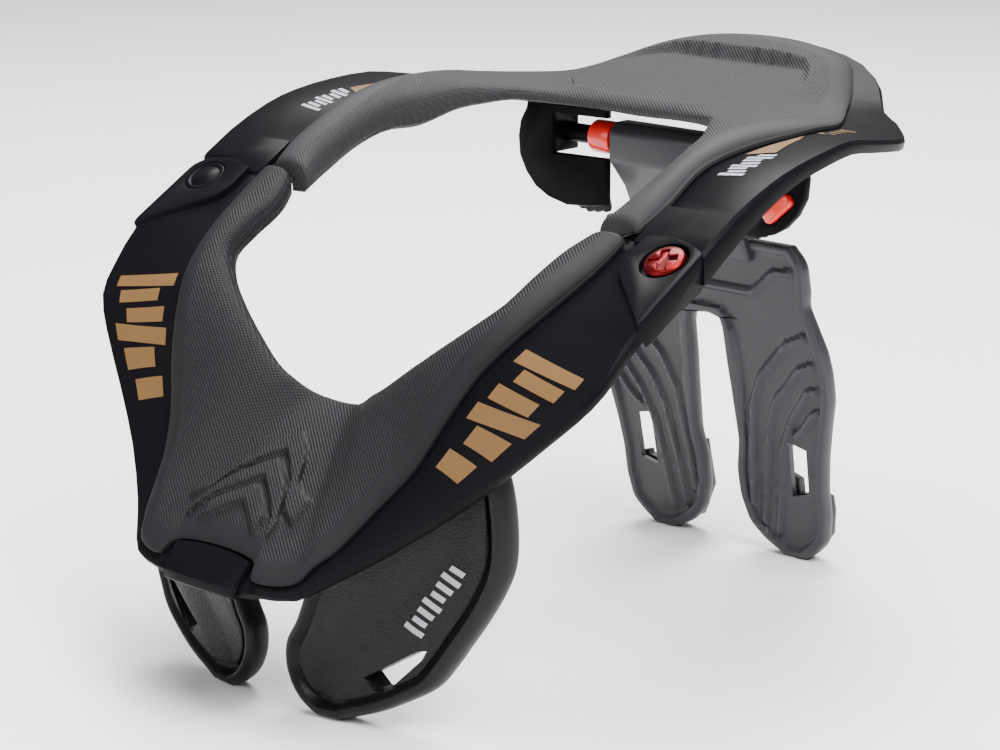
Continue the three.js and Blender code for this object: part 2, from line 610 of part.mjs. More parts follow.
const pinBossX = neckHalf + windowReach;
const pinBossOutline = [[pinBossX, pinZ - 8], [pinBossX + pinBossLength, pinZ - 8], [pinBossX + pinBossLength, pinZ + 8],
  [pinBossX, pinZ + 8]];
const pinBoss = solid(
  facingOut(indexed(upright(pinBossOutline, pinY + 7 - housingFront - 1, 0.8).translate(0, pinY + 7, 0))),
);
const housingBlock = housingShape(housingDepth).add(pinBoss);
const pinSeat = lateral(pinRadius + gap, pinBossX - 1, pinBossX + pinSeatDepth);
const tabCentre = at(63.7, housingFront + 0.3, 163.3);
const lockTabSize = at(16, 5.4, 5.6);
function lockTab(grow) {
  const [l, w] = [lockTabSize.x / 2 + grow, lockTabSize.z / 2 + grow];
  const r = w * 0.5;
  const outline = [[-l + r, -w], [l - r, -w], [l, -w + r], [l, w - r], [l - r, w], [-l + r, w], [-l, w - r], [-l, -w + r]];
  const body = bevelledPrism(outline, -lockTabSize.y / 2 - grow, lockTabSize.y / 2 + grow, 1.2);
  body.rotateZ(THREE.MathUtils.degToRad(41)).rotateX(Math.PI / 2).translate(tabCentre.x, tabCentre.y, tabCentre.z);
  return solid(facingOut(indexed(body)));
}
const tabTravel = 1.2;
const tabPocket = lockTab(0.4).add(lockTab(0.4).translate([0, tabTravel + gap, 0]));
const housingBody = mainPiece(housingBlock.subtract(rearClearance).subtract(rearPad).subtract(pinSeat));

// Foam lining that shows under each housing
const liningWall = 4.5;
const liningRows = [[0.93, 0.945], [0.87, 0.9], [0.79, 0.868], [0.67, 0.832], [0.56, 0.818], [0.44, 0.824],
  [0.44, 0.862], [0.57, 0.858], [0.684, 0.872], [0.78, 0.908], [0.86, 0.95]].map(([x, z]) => [x * housingReach, z * pinZ]);
const liningFront = housingFront + housingDepth + gap;
const lining = mainPiece(
  solid(facingOut(indexed(folded(upright(liningRows, liningWall, 0.8), housingFold, housingSlope, liningFront))))
    .subtract(housingShape(housingDepth + gap)),
);

const pivotPin = lateral(pinRadius, neckHalf - 12, neckHalf + windowReach + 5);
const pinSleeve = lateral(sleeveRadius, neckHalf + 1.5, neckHalf + 1.5 + sleeveLength)
  .subtract(lateral(pinRadius + gap, 0, 100));

// Assembly
const brace = new THREE.Group();
function addPiece(name, body, material) {
  const mesh = new THREE.Mesh(geometryOf(body), new THREE.MeshStandardMaterial(material));
  mesh.name = name;
  brace.add(mesh);
}
function addPair(name, body, material) {
  addPiece(`${name}_left`, body, material);
  addPiece(`${name}_right`, otherSide(body), material);
}
addPiece('front_frame', frontFrame, black);
addPiece('front_pad', frontPad, foamGrey);
addPiece('front_tab', frontTab, black);
addPair('chest_wing', wingShellBody, black);
addPair('chest_wing_pad', wingFoamBody, black);
addPiece('release_button', releaseButton, anodisedRed);
addPiece('hinge_cap', hingeCap, black);
addPiece('rear_frame', rearFrame, black);
addPiece('rear_pad', rearPad, foamGrey);
addPiece('adjuster_housing_left', mainPiece(housingBody.subtract(tabPocket)), black);
addPiece('adjuster_housing_right', otherSide(housingBody), black);
addPair('housing_lining', lining, foamGrey);
addPiece('lock_tab', lockTab(0), signalRed);
addPair('pivot_pin', pivotPin, black);
addPair('pin_sleeve', pinSleeve, signalRed);
addPiece('back_yoke', yokeBody, strutGrey);
addPair('leg_pad', footPad, strutGrey);

// The origin is the middle of the box that the brace stands on
const extent = new THREE.Box3().setFromObject(brace);
brace.position.set(0, -(extent.min.y + extent.max.y) / 2, -extent.min.z);

export default brace;
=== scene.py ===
import json
import math

import bmesh
import bpy
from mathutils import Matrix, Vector


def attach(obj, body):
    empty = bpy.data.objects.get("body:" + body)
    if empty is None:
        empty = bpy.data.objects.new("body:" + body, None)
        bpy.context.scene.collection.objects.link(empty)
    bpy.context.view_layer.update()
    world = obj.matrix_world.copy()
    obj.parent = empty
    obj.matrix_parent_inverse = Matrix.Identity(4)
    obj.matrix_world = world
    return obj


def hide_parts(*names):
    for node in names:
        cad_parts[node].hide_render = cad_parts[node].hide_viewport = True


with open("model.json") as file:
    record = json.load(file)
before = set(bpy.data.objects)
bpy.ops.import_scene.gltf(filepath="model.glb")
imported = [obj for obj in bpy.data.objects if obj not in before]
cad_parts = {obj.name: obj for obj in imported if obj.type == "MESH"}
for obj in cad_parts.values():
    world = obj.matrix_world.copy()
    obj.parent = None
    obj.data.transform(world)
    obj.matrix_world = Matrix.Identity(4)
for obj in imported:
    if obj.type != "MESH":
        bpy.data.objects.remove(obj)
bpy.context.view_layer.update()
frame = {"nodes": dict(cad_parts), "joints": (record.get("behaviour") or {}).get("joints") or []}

bl_info = {
    "name": "Motocross Neck Brace",
    "version": (1, 0, 0),
    "blender": (4, 5, 0),
    "location": "3D View > Sidebar > Neck Brace",
    "description": "Dresses the packed frame of a motocross neck brace",
    "category": "Object",
}

MM = 0.001
HINGE = next(j for j in frame["joints"] if j["name"] == "front_half_hinge")
# The tables below measure y from the joints: this moves them to the frame
JOINT_Y = HINGE["pos_m"][1] / MM
ENDS = {1: "left", -1: "right"}
SEAM_M = 0.00002  # points closer than this are one

# Sizes that the solids share, in millimetres
FRAME_HALF_WIDTH = 132.7
FRONT_REACH = 116.0
REAR_REACH = 221.0
JOINT_HEIGHT = 172.7
TABLE_HEIGHT = 216.0
PLATE = 4.0
PAD_DEPTH = 12.0
PAD_EDGE = 1.6
PAD_ROLL = 0.8
PAD_OVERHANG = 10.0
PAD_FOOT_INSET = 2.6
RIM_ROUND = 1.4
SEAT_GAP = 0.6
WING_REACH = 97.5
WING_HEIGHT = 108.0
WING_FORWARD = 83.0
WING_SWEEP = 24.0
WING_FOAM = 11.0
WING_RIM = 6.5
YOKE_REACH = 64.0
YOKE_TOP = 142.0
YOKE_WALL = 7.0
YOKE_FOOT_Y = 191.0
YOKE_LEAN = 0.187
PIN_Y = 150.0
PIN_Z = 179.0
NECK_HALF = 28.5

# Bands, from a joint to the centre: rim x y z, pad x y z, neck x y z, as shares of the sizes above,
# then the pad's crown and its wall at the neck, as shares of PAD_DEPTH
FRONT_ROWS = (
    (1.0, -0.14, 1.04, 0.722, -0.09, 1.026, 0.62, -0.106, 1.028, 0.2, 0.6),
    (0.997, 0.069, 0.962, 0.712, 0.052, 0.968, 0.569, 0.017, 0.979, 0.34, 0.6),
    (0.992, 0.233, 0.901, 0.684, 0.207, 0.907, 0.561, 0.147, 0.935, 0.42, 0.6),
    (0.986, 0.353, 0.816, 0.644, 0.353, 0.843, 0.55, 0.25, 0.892, 0.42, 0.6),
    (0.961, 0.431, 0.759, 0.595, 0.453, 0.776, 0.49, 0.319, 0.848, 0.42, 0.6),
    (0.885, 0.491, 0.692, 0.543, 0.534, 0.683, 0.407, 0.371, 0.799, 0.42, 0.68),
    (0.739, 0.578, 0.585, 0.482, 0.605, 0.577, 0.317, 0.405, 0.747, 0.42, 0.68),
    (0.591, 0.678, 0.489, 0.422, 0.698, 0.498, 0.226, 0.418, 0.695, 0.42, 0.68),
    (0.45, 0.8, 0.401, 0.375, 0.806, 0.425, 0.165, 0.41, 0.668, 0.4, 0.68),
    (0.385, 0.868, 0.358, 0.342, 0.868, 0.394, 0.118, 0.392, 0.646, 0.36, 0.68),
    (0.313, 0.935, 0.321, 0.301, 0.925, 0.355, 0.082, 0.376, 0.634, 0.36, 0.68),
    (0.203, 0.974, 0.314, 0.192, 0.968, 0.35, 0.054, 0.366, 0.629, 0.34, 0.68),
    (0.139, 0.983, 0.314, 0.147, 0.921, 0.38, 0.028, 0.36, 0.626, 0.34, 0.68),
    (0.0, 0.99, 0.314, 0.0, 0.91, 0.388, 0.0, 0.358, 0.625, 0.34, 0.68),
)
REAR_ROWS = (
    (1.0, 0.005, 0.801, 0.715, 0.066, 0.823, 0.58, 0.064, 0.822, 0.25, 0.75),
    (1.0, 0.113, 0.866, 0.731, 0.127, 0.857, 0.599, 0.122, 0.838, 0.45, 0.72),
    (1.0, 0.204, 0.904, 0.726, 0.208, 0.902, 0.601, 0.208, 0.872, 0.45, 0.7),
    (0.995, 0.276, 0.923, 0.731, 0.271, 0.922, 0.583, 0.288, 0.905, 0.45, 0.8),
    (0.982, 0.362, 0.935, 0.745, 0.353, 0.935, 0.543, 0.348, 0.918, 0.45, 0.9),
    (0.957, 0.452, 0.94, 0.752, 0.448, 0.94, 0.49, 0.412, 0.936, 0.34, 0.7),
    (0.931, 0.534, 0.928, 0.748, 0.525, 0.941, 0.43, 0.466, 0.936, 0.26, 0.5),
    (0.897, 0.624, 0.914, 0.716, 0.606, 0.934, 0.392, 0.498, 0.936, 0.2, 0.42),
    (0.848, 0.701, 0.905, 0.648, 0.679, 0.93, 0.354, 0.52, 0.933, 0.18, 0.42),
    (0.731, 0.781, 0.911, 0.558, 0.76, 0.928, 0.317, 0.534, 0.931, 0.2, 0.42),
    (0.599, 0.846, 0.919, 0.497, 0.821, 0.936, 0.279, 0.542, 0.929, 0.28, 0.42),
    (0.505, 0.912, 0.949, 0.43, 0.882, 0.955, 0.241, 0.552, 0.926, 0.36, 0.42),
    (0.384, 0.959, 0.979, 0.339, 0.943, 0.982, 0.188, 0.561, 0.924, 0.4, 0.42),
    (0.211, 0.982, 0.997, 0.188, 0.966, 1.001, 0.136, 0.57, 0.922, 0.4, 0.42),
    (0.0, 0.998, 0.999, 0.0, 0.982, 1.006, 0.0, 0.575, 0.919, 0.4, 0.42),
)
# Chest wing: height, inner edge, crease, outer edge, as shares of WING_HEIGHT and WING_REACH
WING_ROWS = (
    (0.0, 0.24, 0.29, 0.34),
    (0.022, 0.19, 0.27, 0.4),
    (0.055, 0.145, 0.24, 0.5),
    (0.1, 0.11, 0.25, 0.6),
    (0.167, 0.085, 0.28, 0.72),
    (0.25, 0.09, 0.37, 0.79),
    (0.33, 0.14, 0.46, 0.845),
    (0.42, 0.18, 0.55, 0.905),
    (0.52, 0.22, 0.66, 0.96),
    (0.62, 0.26, 0.76, 0.995),
    (0.74, 0.33, 0.82, 1.0),
    (0.88, 0.48, 0.85, 0.985),
)
# Outline of the strut's plate, right half from the top centre, as shares of YOKE_REACH and YOKE_TOP
YOKE_HALF = (
    (0.0, 1.0), (0.76, 1.0), (0.83, 0.97), (0.86, 0.94), (0.865, 0.85), (0.845, 0.82), (0.96, 0.685),
    (0.985, 0.62), (0.985, 0.535), (0.93, 0.43), (0.89, 0.338), (0.865, 0.246), (0.865, 0.155),
    (0.83, 0.07), (0.72, 0.021), (0.64, 0.0), (0.49, 0.0), (0.34, 0.028), (0.2, 0.085), (0.14, 0.17),
    (0.133, 0.254), (0.172, 0.352), (0.162, 0.437), (0.153, 0.514), (0.14, 0.592), (0.134, 0.669),
    (0.13, 0.712), (0.105, 0.737), (0.0, 0.741),
)
OUTER_SIDE, INNER_SIDE, CROTCH, NOTCH = slice(1, 16), slice(16, 28), 27, 28  # rows of it


# ---- Colours and nodes
def linear(hex_colour):
    """An sRGB hex value such as '3c3a3d' as linear red, green, blue, alpha."""
    channels = [int(hex_colour[i:i + 2], 16) / 255 for i in (0, 2, 4)]
    return [c / 12.92 if c <= 0.04045 else ((c + 0.055) / 1.055) ** 2.4 for c in channels] + [1.0]


def rgba(colour, gain=1.0):
    """A linear colour with its alpha, made lighter or darker by a gain."""
    return [c * gain for c in colour[:3]] + [1.0]


def feed(tree, target, inputs):
    """Links a node's inputs to sockets, or sets them to values."""
    for key, value in inputs.items():
        if isinstance(value, bpy.types.NodeSocket):
            tree.links.new(value, target.inputs[key])
        else:
            target.inputs[key].default_value = value


def node(tree, kind, inputs=None, **settings):
    """Adds a node with its settings, and links or sets its inputs."""
    added = tree.nodes.new(kind)
    for key, value in settings.items():
        setattr(added, key, value)
    feed(tree, added, inputs or {})
    return added


def maths(tree, operation, *values):
    """Adds a maths node and gives its result."""
    return node(tree, "ShaderNodeMath", dict(enumerate(values)), operation=operation).outputs[0]


def noise(tree, place, scale, detail):
    """Adds a noise texture and gives its value, from 0 to 1."""
    inputs = {"Vector": place, "Scale": scale, "Detail": detail}
    return node(tree, "ShaderNodeTexNoise", inputs).outputs["Fac"]


def ranged(tree, value, low, high, start=0.0, end=1.0):
    """Takes a value that runs from start to end to one that runs from low to high."""
    inputs = {"Value": value, "From Min": start, "From Max": end, "To Min": low, "To Max": high}
    return node(tree, "ShaderNodeMapRange", inputs).outputs["Result"]


def blended(tree, first, second, factor):
    """Mixes two colours."""
    inputs = {"A": first, "B": second, "Factor": factor}
    return node(tree, "ShaderNodeMix", inputs, data_type="RGBA").outputs["Result"]


def bumped(tree, height, strength, depth_mm, under=None):
    """Adds a bump of a real depth, over another one if it is given."""
    inputs = {"Height": height, "Strength": strength, "Distance": depth_mm * MM}
    if under is not None:
        inputs["Normal"] = under
    return node(tree, "ShaderNodeBump", inputs).outputs["Normal"]


def new_material(name):
    """An empty node material with its shader and output joined."""
    material = bpy.data.materials.new(name)
    material.use_nodes = True
    tree = material.node_tree
    tree.nodes.clear()
    shader = node(tree, "ShaderNodeBsdfPrincipled")
    node(tree, "ShaderNodeOutputMaterial", {"Surface": shader.outputs["BSDF"]})
    return material, tree, shader


def grained(name, colour, roughness, grain_mm, depth_mm, lift, coat=0.0, metallic=0.0, specular=0.5):
    """A moulded or printed surface: a fine grain that breaks up its highlight, a slow drift of tone."""
    material, tree, shader = new_material(name)
    place = node(tree, "ShaderNodeTexCoord").outputs["Object"]
    grain = noise(tree, place, 1 / (grain_mm * MM), 3.0)
    patches = noise(tree, place, PATCHES, 2.0)
    feed(tree, shader, {
        "Base Color": blended(tree, rgba(colour), rgba(colour, 1 + lift), patches),
        "Roughness": ranged(tree, grain, roughness - 0.06, roughness + 0.08),
        "Normal": bumped(tree, grain, 0.5, depth_mm),
        "Coat Weight": coat,
        "Metallic": metallic,
        "Specular IOR Level": specular,
    })
    return material


def embossed_foam(name, colour, pitch_mm):
    """Closed-cell EVA foam pressed in a hot mould: fine crossed ribs, smooth along its outer line, with
    painted shade in the valleys between the ribs and painted light on their tops.
    """
    material, tree, shader = new_material(name)
    place = node(tree, "ShaderNodeTexCoord").outputs["Object"]
    spot = node(tree, "ShaderNodeSeparateXYZ", {"Vector": place}).outputs
    lean = maths(tree, "MULTIPLY_ADD", spot["Z"], 0.6, spot["Y"])
    turn = 2 * math.pi / (pitch_mm * MM * math.sqrt(2))
    waves = []
    for operation in ("ADD", "SUBTRACT"):  # the two directions at 45 degrees
        line = maths(tree, operation, spot["X"], lean)
        waves.append(maths(tree, "SINE", maths(tree, "MULTIPLY", line, turn)))
    weave = maths(tree, "MULTIPLY_ADD", waves[0], 1.6, waves[1])
    mask = node(tree, "ShaderNodeAttribute", attribute_name="emboss").outputs["Fac"]
    height = maths(tree, "MULTIPLY", weave, mask)
    painted_rib_shade = ranged(tree, height, 0.8, 1.2, -2.2, 2.2)  # painted shade makes the valleys between the ribs darker, painted light makes their tops lighter
    drift = ranged(tree, noise(tree, place, 60.0, 3.0), 0.92, 1.08)
    tone = {0: rgba(colour)[:3], "Scale": maths(tree, "MULTIPLY", painted_rib_shade, drift)}
    cells = noise(tree, place, 2200.0, 1.0)
    feed(tree, shader, {
        "Base Color": node(tree, "ShaderNodeVectorMath", tone, operation="SCALE").outputs["Vector"],
        "Normal": bumped(tree, cells, 0.25, 0.05, bumped(tree, height, 0.55, 0.12)),
        "Roughness": 0.62,
        "Specular IOR Level": 0.14,
    })
    return material


def leather_grain(name, colour, roughness, pebble_mm):
    """Foam skinned with a polyurethane film: soft pebbles parted by fine creases, with painted shade that
    darkens the creases.
    """
    material, tree, shader = new_material(name)
    place = node(tree, "ShaderNodeTexCoord").outputs["Object"]
    warp = node(tree, "ShaderNodeTexNoise", {"Vector": place, "Scale": 300.0, "Detail": 2.0})
    shift = {0: warp.outputs["Color"], "Scale": 0.0012}
    bent = node(tree, "ShaderNodeVectorMath", shift, operation="SCALE").outputs["Vector"]
    moved = node(tree, "ShaderNodeVectorMath", {0: place, 1: bent}, operation="ADD").outputs["Vector"]
    cells = {"Vector": moved, "Scale": 1 / (pebble_mm * MM)}
    pebbles = node(tree, "ShaderNodeTexVoronoi", cells, feature="DISTANCE_TO_EDGE").outputs["Distance"]
    height = ranged(tree, pebbles, 0.0, 1.0, 0.0, 0.22)
    feed(tree, shader, {
        # painted shade: the base colour darkens in the creases, where the height is low
        "Base Color": blended(tree, rgba(colour, 0.6), rgba(colour), height),
        "Normal": bumped(tree, height, 0.6, 0.2),
        "Roughness": roughness,
        "Specular IOR Level": 0.17,
    })
    return material


MATERIALS = {}
# Real sizes of the patterns. A tool grain is about 0.2 mm in life: it is drawn coarser, so that it shows.
TOOL_GRAIN_MM = 0.55
RIM_GRAIN_MM = 0.5
RIB_PITCH_MM = 1.25
PEBBLE_MM = 1.3
PATCHES = 45.0  # a metre, of the slow drift of tone


def finish_of(key):
    """The material of that key, made when it is first asked for."""
    if key in MATERIALS:
        return MATERIALS[key]
    c = bpy.context.scene.brace_colours
    makers = {
        # Injection moulded shells: a black satin that stays dark, with a soft sheen along the edges
        "frame": lambda: grained("Glass-filled nylon, satin tool grain", c.frame, 0.38, TOOL_GRAIN_MM, 0.05,
                                 0.25, specular=0.035),
        # Pressed foam: matt, with rib lines that catch a little light through their bump, with painted light
        # on their tops and painted shade between them
        "foam_rear": lambda: embossed_foam("EVA foam, hot pressed, grey", c.rear_pad, RIB_PITCH_MM),
        # The chest pad is the rear pad's foam with a darker colour: painted shade for the shade it lies in
        "shaded_front_foam": lambda: embossed_foam("EVA foam, hot pressed, grey, darkened as painted shade", c.front_pad,
                                            RIB_PITCH_MM),
        # Film over foam: a pebbled skin with small broken highlights, and painted shade in its creases
        "wing_skin": lambda: leather_grain("Polyurethane film over foam, leather grain", c.wing, 0.42,
                                           PEBBLE_MM),
        # The moulded rim round it: smoother, with one long highlight along its round
        "wing_foam": lambda: grained("EVA foam rim, moulded smooth", c.wing, 0.4, RIM_GRAIN_MM, 0.05,
                                     0.25, specular=0.15),
        # Moulded strut: dark grey with a satin shine that shows its ridges
        "strut": lambda: grained("Polypropylene, satin moulded", c.strut, 0.38, RIM_GRAIN_MM, 0.04,
                                 0.25, specular=0.28),
        # Small moulded parts, bright and glossy
        "red": lambda: grained("ABS, bright red gloss", c.red, 0.3, 0.9, 0.02, 0.1, coat=0.3),
        # Turned and anodised: a deep red metal whose tone falls off quickly towards its edges
        "anodised": lambda: grained("Aluminium, red anodised", c.button, 0.34, 0.4, 0.02, 0.15,
                                    metallic=0.85),
        # Inks: flat and even, with hardly any shine
        "gold": lambda: grained("Pad print, metallic gold ink", c.gold, 0.5, 0.3, 0.02, 0.2, specular=0.15),
        "pale": lambda: grained("Pad print, light grey ink", c.pale, 0.5, 0.3, 0.02, 0.1, specular=0.15),
    }
    MATERIALS[key] = makers[key]()
    return MATERIALS[key]


# ---- Curves and bands
def catmull(points, t):
    """A point of the Catmull-Rom curve through the points, t from 0 to 1 and a little past the ends."""
    last = len(points) - 1
    at = t * last
    i = min(max(int(at), 0), last - 1)
    w = at - i
    p1, p2 = points[i], points[i + 1]
    p0 = points[i - 1] if i > 0 else p1 * 2 - p2
    p3 = points[i + 2] if i + 2 <= last else p2 * 2 - p1
    return (p1 * 2 + (p2 - p0) * w + (p0 * 2 - p1 * 5 + p2 * 4 - p3) * w * w
            + (p1 * 3 - p0 - p2 * 3 + p3) * w * w * w) * 0.5


def smoothstep(low, high, value):
    """Eases from 0 at low to 1 at high."""
    w = min(max((value - low) / (high - low), 0.0), 1.0)
    return w * w * (3 - 2 * w)


class Band:
    """The collar of one half: its rim, its pad's outer line and the neck edge, from left to right."""

    def __init__(self, rows, reach, height):
        self.turn = 1.0 if reach > 0 else -1.0
        share = Vector((FRAME_HALF_WIDTH, reach, height))
        lines = []
        for k in (0, 3, 6):
            half = [Vector(row[k:k + 3]) * share for row in rows]
            lines.append(half + [Vector((-p.x, p.y, p.z)) for p in reversed(half[:-1])])
        trims = [Vector((row[9] * PAD_DEPTH, row[10] * PAD_DEPTH, 0)) for row in rows]
        self.lines = lines + [trims + list(reversed(trims[:-1]))]
        self.spans = len(lines[0]) - 1

    def station(self, t):
        """The lines, the sizes and the directions of the section at t."""
        rim, pad, neck, trim = (catmull(line, t) for line in self.lines)
        step = 0.5 / self.spans
        ahead = [catmull(line, t + step) for line in self.lines[:2]]
        behind = [catmull(line, t - step) for line in self.lines[:2]]
        run = (ahead[0] + ahead[1] - behind[0] - behind[1]).normalized()
        over = (pad - neck).normalized()
        out = (rim - pad).normalized()
        off_pad = (over.cross(run) * self.turn).normalized()
        off_rim = (out.cross(run) * self.turn).normalized()
        off_line = (off_pad + off_rim).normalized()
        return {"rim": rim, "pad": pad, "neck": neck, "crown": trim.x, "wall": trim.y, "over": over,
                "out": out, "off_pad": off_pad, "off_rim": off_rim, "off_line": off_line}

    def on_frame(self, t, w, lift):
        """A point of the open band: w is 0 at the pad's outer line and 1 at the rim."""
        s = self.station(t)
        inner = s["pad"] - s["off_line"] * (PAD_EDGE + 0.3)
        outer = s["rim"] - s["out"] * RIM_ROUND
        return inner.lerp(outer, w) + s["off_rim"] * lift


FRONT = Band(FRONT_ROWS, -FRONT_REACH, JOINT_HEIGHT)
REAR = Band(REAR_ROWS, REAR_REACH, TABLE_HEIGHT)


def row_time(band, row, side):
    """Where a row of the tables lies along the band, on the left (+1) or the right (-1) side."""
    return row / band.spans if side > 0 else 1 - row / band.spans


# ---- Meshes
def to_frame(point):
    """From the tables' millimetres to the frame's metres."""
    return Vector((point.x, point.y + JOINT_Y, point.z)) * MM


def only(obj):
    """Makes one object the whole selection."""
    bpy.ops.object.select_all(action="DESELECT")
    obj.select_set(True)
    bpy.context.view_layer.objects.active = obj


def edit(obj, *steps):
    """Runs edit-mode steps on the faces that stay selected, starting from all of them."""
    only(obj)
    bpy.ops.object.mode_set(mode="EDIT")
    bpy.ops.mesh.select_all(action="SELECT")
    for operator, settings in steps:
        operator(**settings)
    bpy.ops.object.mode_set(mode="OBJECT")


def grid_piece(name, across, along, place, seam=False, marks=None):
    """A grid primitive laid out by place(u, v), both from 0 to 1, in the tables' millimetres."""
    bpy.ops.object.select_all(action="DESELECT")
    bpy.ops.mesh.primitive_grid_add(x_subdivisions=across, y_subdivisions=along, size=1.0)
    obj = bpy.context.active_object
    obj.name = obj.data.name = name
    spots = [(vertex.co.x + 0.5, vertex.co.y + 0.5) for vertex in obj.data.vertices]
    if marks:
        mask = obj.data.attributes.new("emboss", "FLOAT", "POINT")
        mask.data.foreach_set("value", [marks(u, v) for u, v in spots])
    for vertex, (u, v) in zip(obj.data.vertices, spots):
        vertex.co = to_frame(place(u, v))
    if seam:
        edit(obj, (bpy.ops.mesh.remove_doubles, {"threshold": SEAM_M}))
    return obj


def recalculated(obj):
    """Turns all faces of a closed piece outwards."""
    edit(obj, (bpy.ops.mesh.normals_make_consistent, {"inside": False}))
    bm = bmesh.new()
    bm.from_mesh(obj.data)
    if bm.calc_volume(signed=True) < 0:
        bmesh.ops.reverse_faces(bm, faces=bm.faces)
        bm.to_mesh(obj.data)
    bm.free()
    return obj


def modified(obj, kind, **settings):
    """Adds a modifier with its settings and applies it."""
    only(obj)
    modifier = obj.modifiers.new(kind.title(), kind)
    for key, value in settings.items():
        setattr(modifier, key, value)
    bpy.ops.object.modifier_apply(modifier=modifier.name)
    return obj


def smooth(obj, degrees):
    """Shades smooth across edges up to an angle."""
    only(obj)
    bpy.ops.object.shade_smooth_by_angle(angle=math.radians(degrees))
    return obj


def dressed(obj, key, body, slot, *replaced):
    """Gives a finished piece its material and its body, and hides the nodes it stands for."""
    obj.data.materials.clear()
    obj.data.materials.append(finish_of(key))
    if replaced:
        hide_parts(*replaced)
    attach(obj, body)
    return obj


def refined(node_name, name, bevel_mm=0.0):
    """A merged copy of a rigid node: edges rounded as the mould leaves them, lofts shaded smooth."""
    mesh = frame["nodes"][node_name].data.copy()
    mesh.name = name
    obj = bpy.data.objects.new(name, mesh)
    bpy.context.scene.collection.objects.link(obj)
    edit(obj, (bpy.ops.mesh.remove_doubles, {"threshold": SEAM_M}),
         (bpy.ops.mesh.dissolve_limited, {"angle_limit": math.radians(0.5)}))
    if bevel_mm:
        modified(obj, "BEVEL", width=bevel_mm * MM, segments=2, limit_method="ANGLE",
                 angle_limit=math.radians(38), use_clamp_overlap=True)
    return smooth(obj, 32)


def pick_faces(obj, test):
    """Goes into edit mode with only those faces selected that pass the test."""
    only(obj)
    bpy.ops.object.mode_set(mode="EDIT")
    bpy.ops.mesh.select_mode(type="FACE")
    bpy.ops.mesh.select_all(action="DESELECT")
    bpy.ops.object.mode_set(mode="OBJECT")
    for polygon in obj.data.polygons:
        polygon.select = bool(test(polygon))
    bpy.ops.object.mode_set(mode="EDIT")


def done_picking():
    """Leaves edit mode as pick_faces found it."""
    bpy.ops.mesh.select_mode(type="VERT")
    bpy.ops.object.mode_set(mode="OBJECT")


def outline_piece(name, outline, place):
    """A closed outline as one face: a circle primitive whose points are set along it."""
    bpy.ops.object.select_all(action="DESELECT")
    bpy.ops.mesh.primitive_circle_add(vertices=len(outline), radius=1.0, fill_type="NGON")
    obj = bpy.context.active_object
    obj.name = obj.data.name = name
    for vertex, (x, z) in zip(obj.data.vertices, outline):
        vertex.co = place(x, z)
    return obj


# ---- Padded pieces
PAD_ARM_X = 86.0  # where a pad's arm ends, out from the middle
SPLIT_TILT = 2.85 / 172  # the line where the halves meet lies further back on the hinge side
SPLIT_Y = 9.3
REAR_PAD_START = 14.9
END_ROLL = 1.6
PAD_TOP_FROM, PAD_TOP_TO = 0.07, 0.6  # the part of the section that is its crowned top
PAD_SEAM = 0.95  # past it a point is on the section's closing seam
# Half plan of the head table's pocket, and its floor, which rises backwards
POCKET = ((35.0, 191.0), (41.0, 186.0), (57.5, 161.0), (56.0, 150.0), (38.0, 131.0))
POCKET_FLOOR = 210.8
POCKET_SLOPE = math.tan(math.radians(9))
# Chevrons of the chest: distance of the tip from the rim, half reach across, half width of the line
CHEVRONS = ((50.0, 28.0, 4.6), (36.0, 22.0, 4.2), (23.0, 15.0, 3.8))
CHEVRON_LEAN = 0.75
CHEVRON_SOFT = 1.2
CHEST_HALF = 30.0
FRONT_STEPS = ((-0.3, 9, 66), (9, 13, 62))  # from row, to row, stations: closer where there is relief
REAR_STEPS = ((-0.5, 8, 62), (8, 14, 100))
FRONT_ACROSS, REAR_ACROSS = 164, 132
FRONT_MARGIN, REAR_MARGIN = 9.0, 11.0  # smooth border of the embossing
LINING_RIB, LINING_RIB_DEPTH = 4.2, 0.35


def trim_end(obj, point, normal):
    """Cuts an end square and rolls its edge: rings inside it are drawn in along a quarter circle."""
    only(obj)
    centre = to_frame(point)
    facing = Vector(normal).normalized()
    bpy.ops.object.mode_set(mode="EDIT")
    for share in (1.0, 0.55, 0.25, 0.07, 0.0):
        bpy.ops.mesh.select_all(action="SELECT")
        bpy.ops.mesh.bisect(plane_co=centre - facing * END_ROLL * share * MM, plane_no=facing,
                            clear_outer=share == 0.0)
    bpy.ops.object.mode_set(mode="OBJECT")
    mesh = obj.data
    ring = []
    for vertex in mesh.vertices:
        deep = (centre - vertex.co).dot(facing) / MM
        if deep < END_ROLL:
            across = vertex.normal - facing * vertex.normal.dot(facing)
            if across.length > 1e-6:
                drawn = END_ROLL - math.sqrt(max(END_ROLL ** 2 - (END_ROLL - deep) ** 2, 0.0))
                ring.append((vertex.index, across.normalized() * drawn * MM))
    for index, shift in ring:
        mesh.vertices[index].co -= shift
    bm = bmesh.new()
    bm.from_mesh(mesh)
    edge = [e for e in bm.edges if e.is_boundary
            and all(abs((centre - v.co).dot(facing)) < 0.1 * MM for v in e.verts)]
    bmesh.ops.holes_fill(bm, edges=edge, sides=0)
    bmesh.ops.triangulate(bm, faces=[f for f in bm.faces if len(f.verts) > 4])
    bm.to_mesh(mesh)
    bm.free()


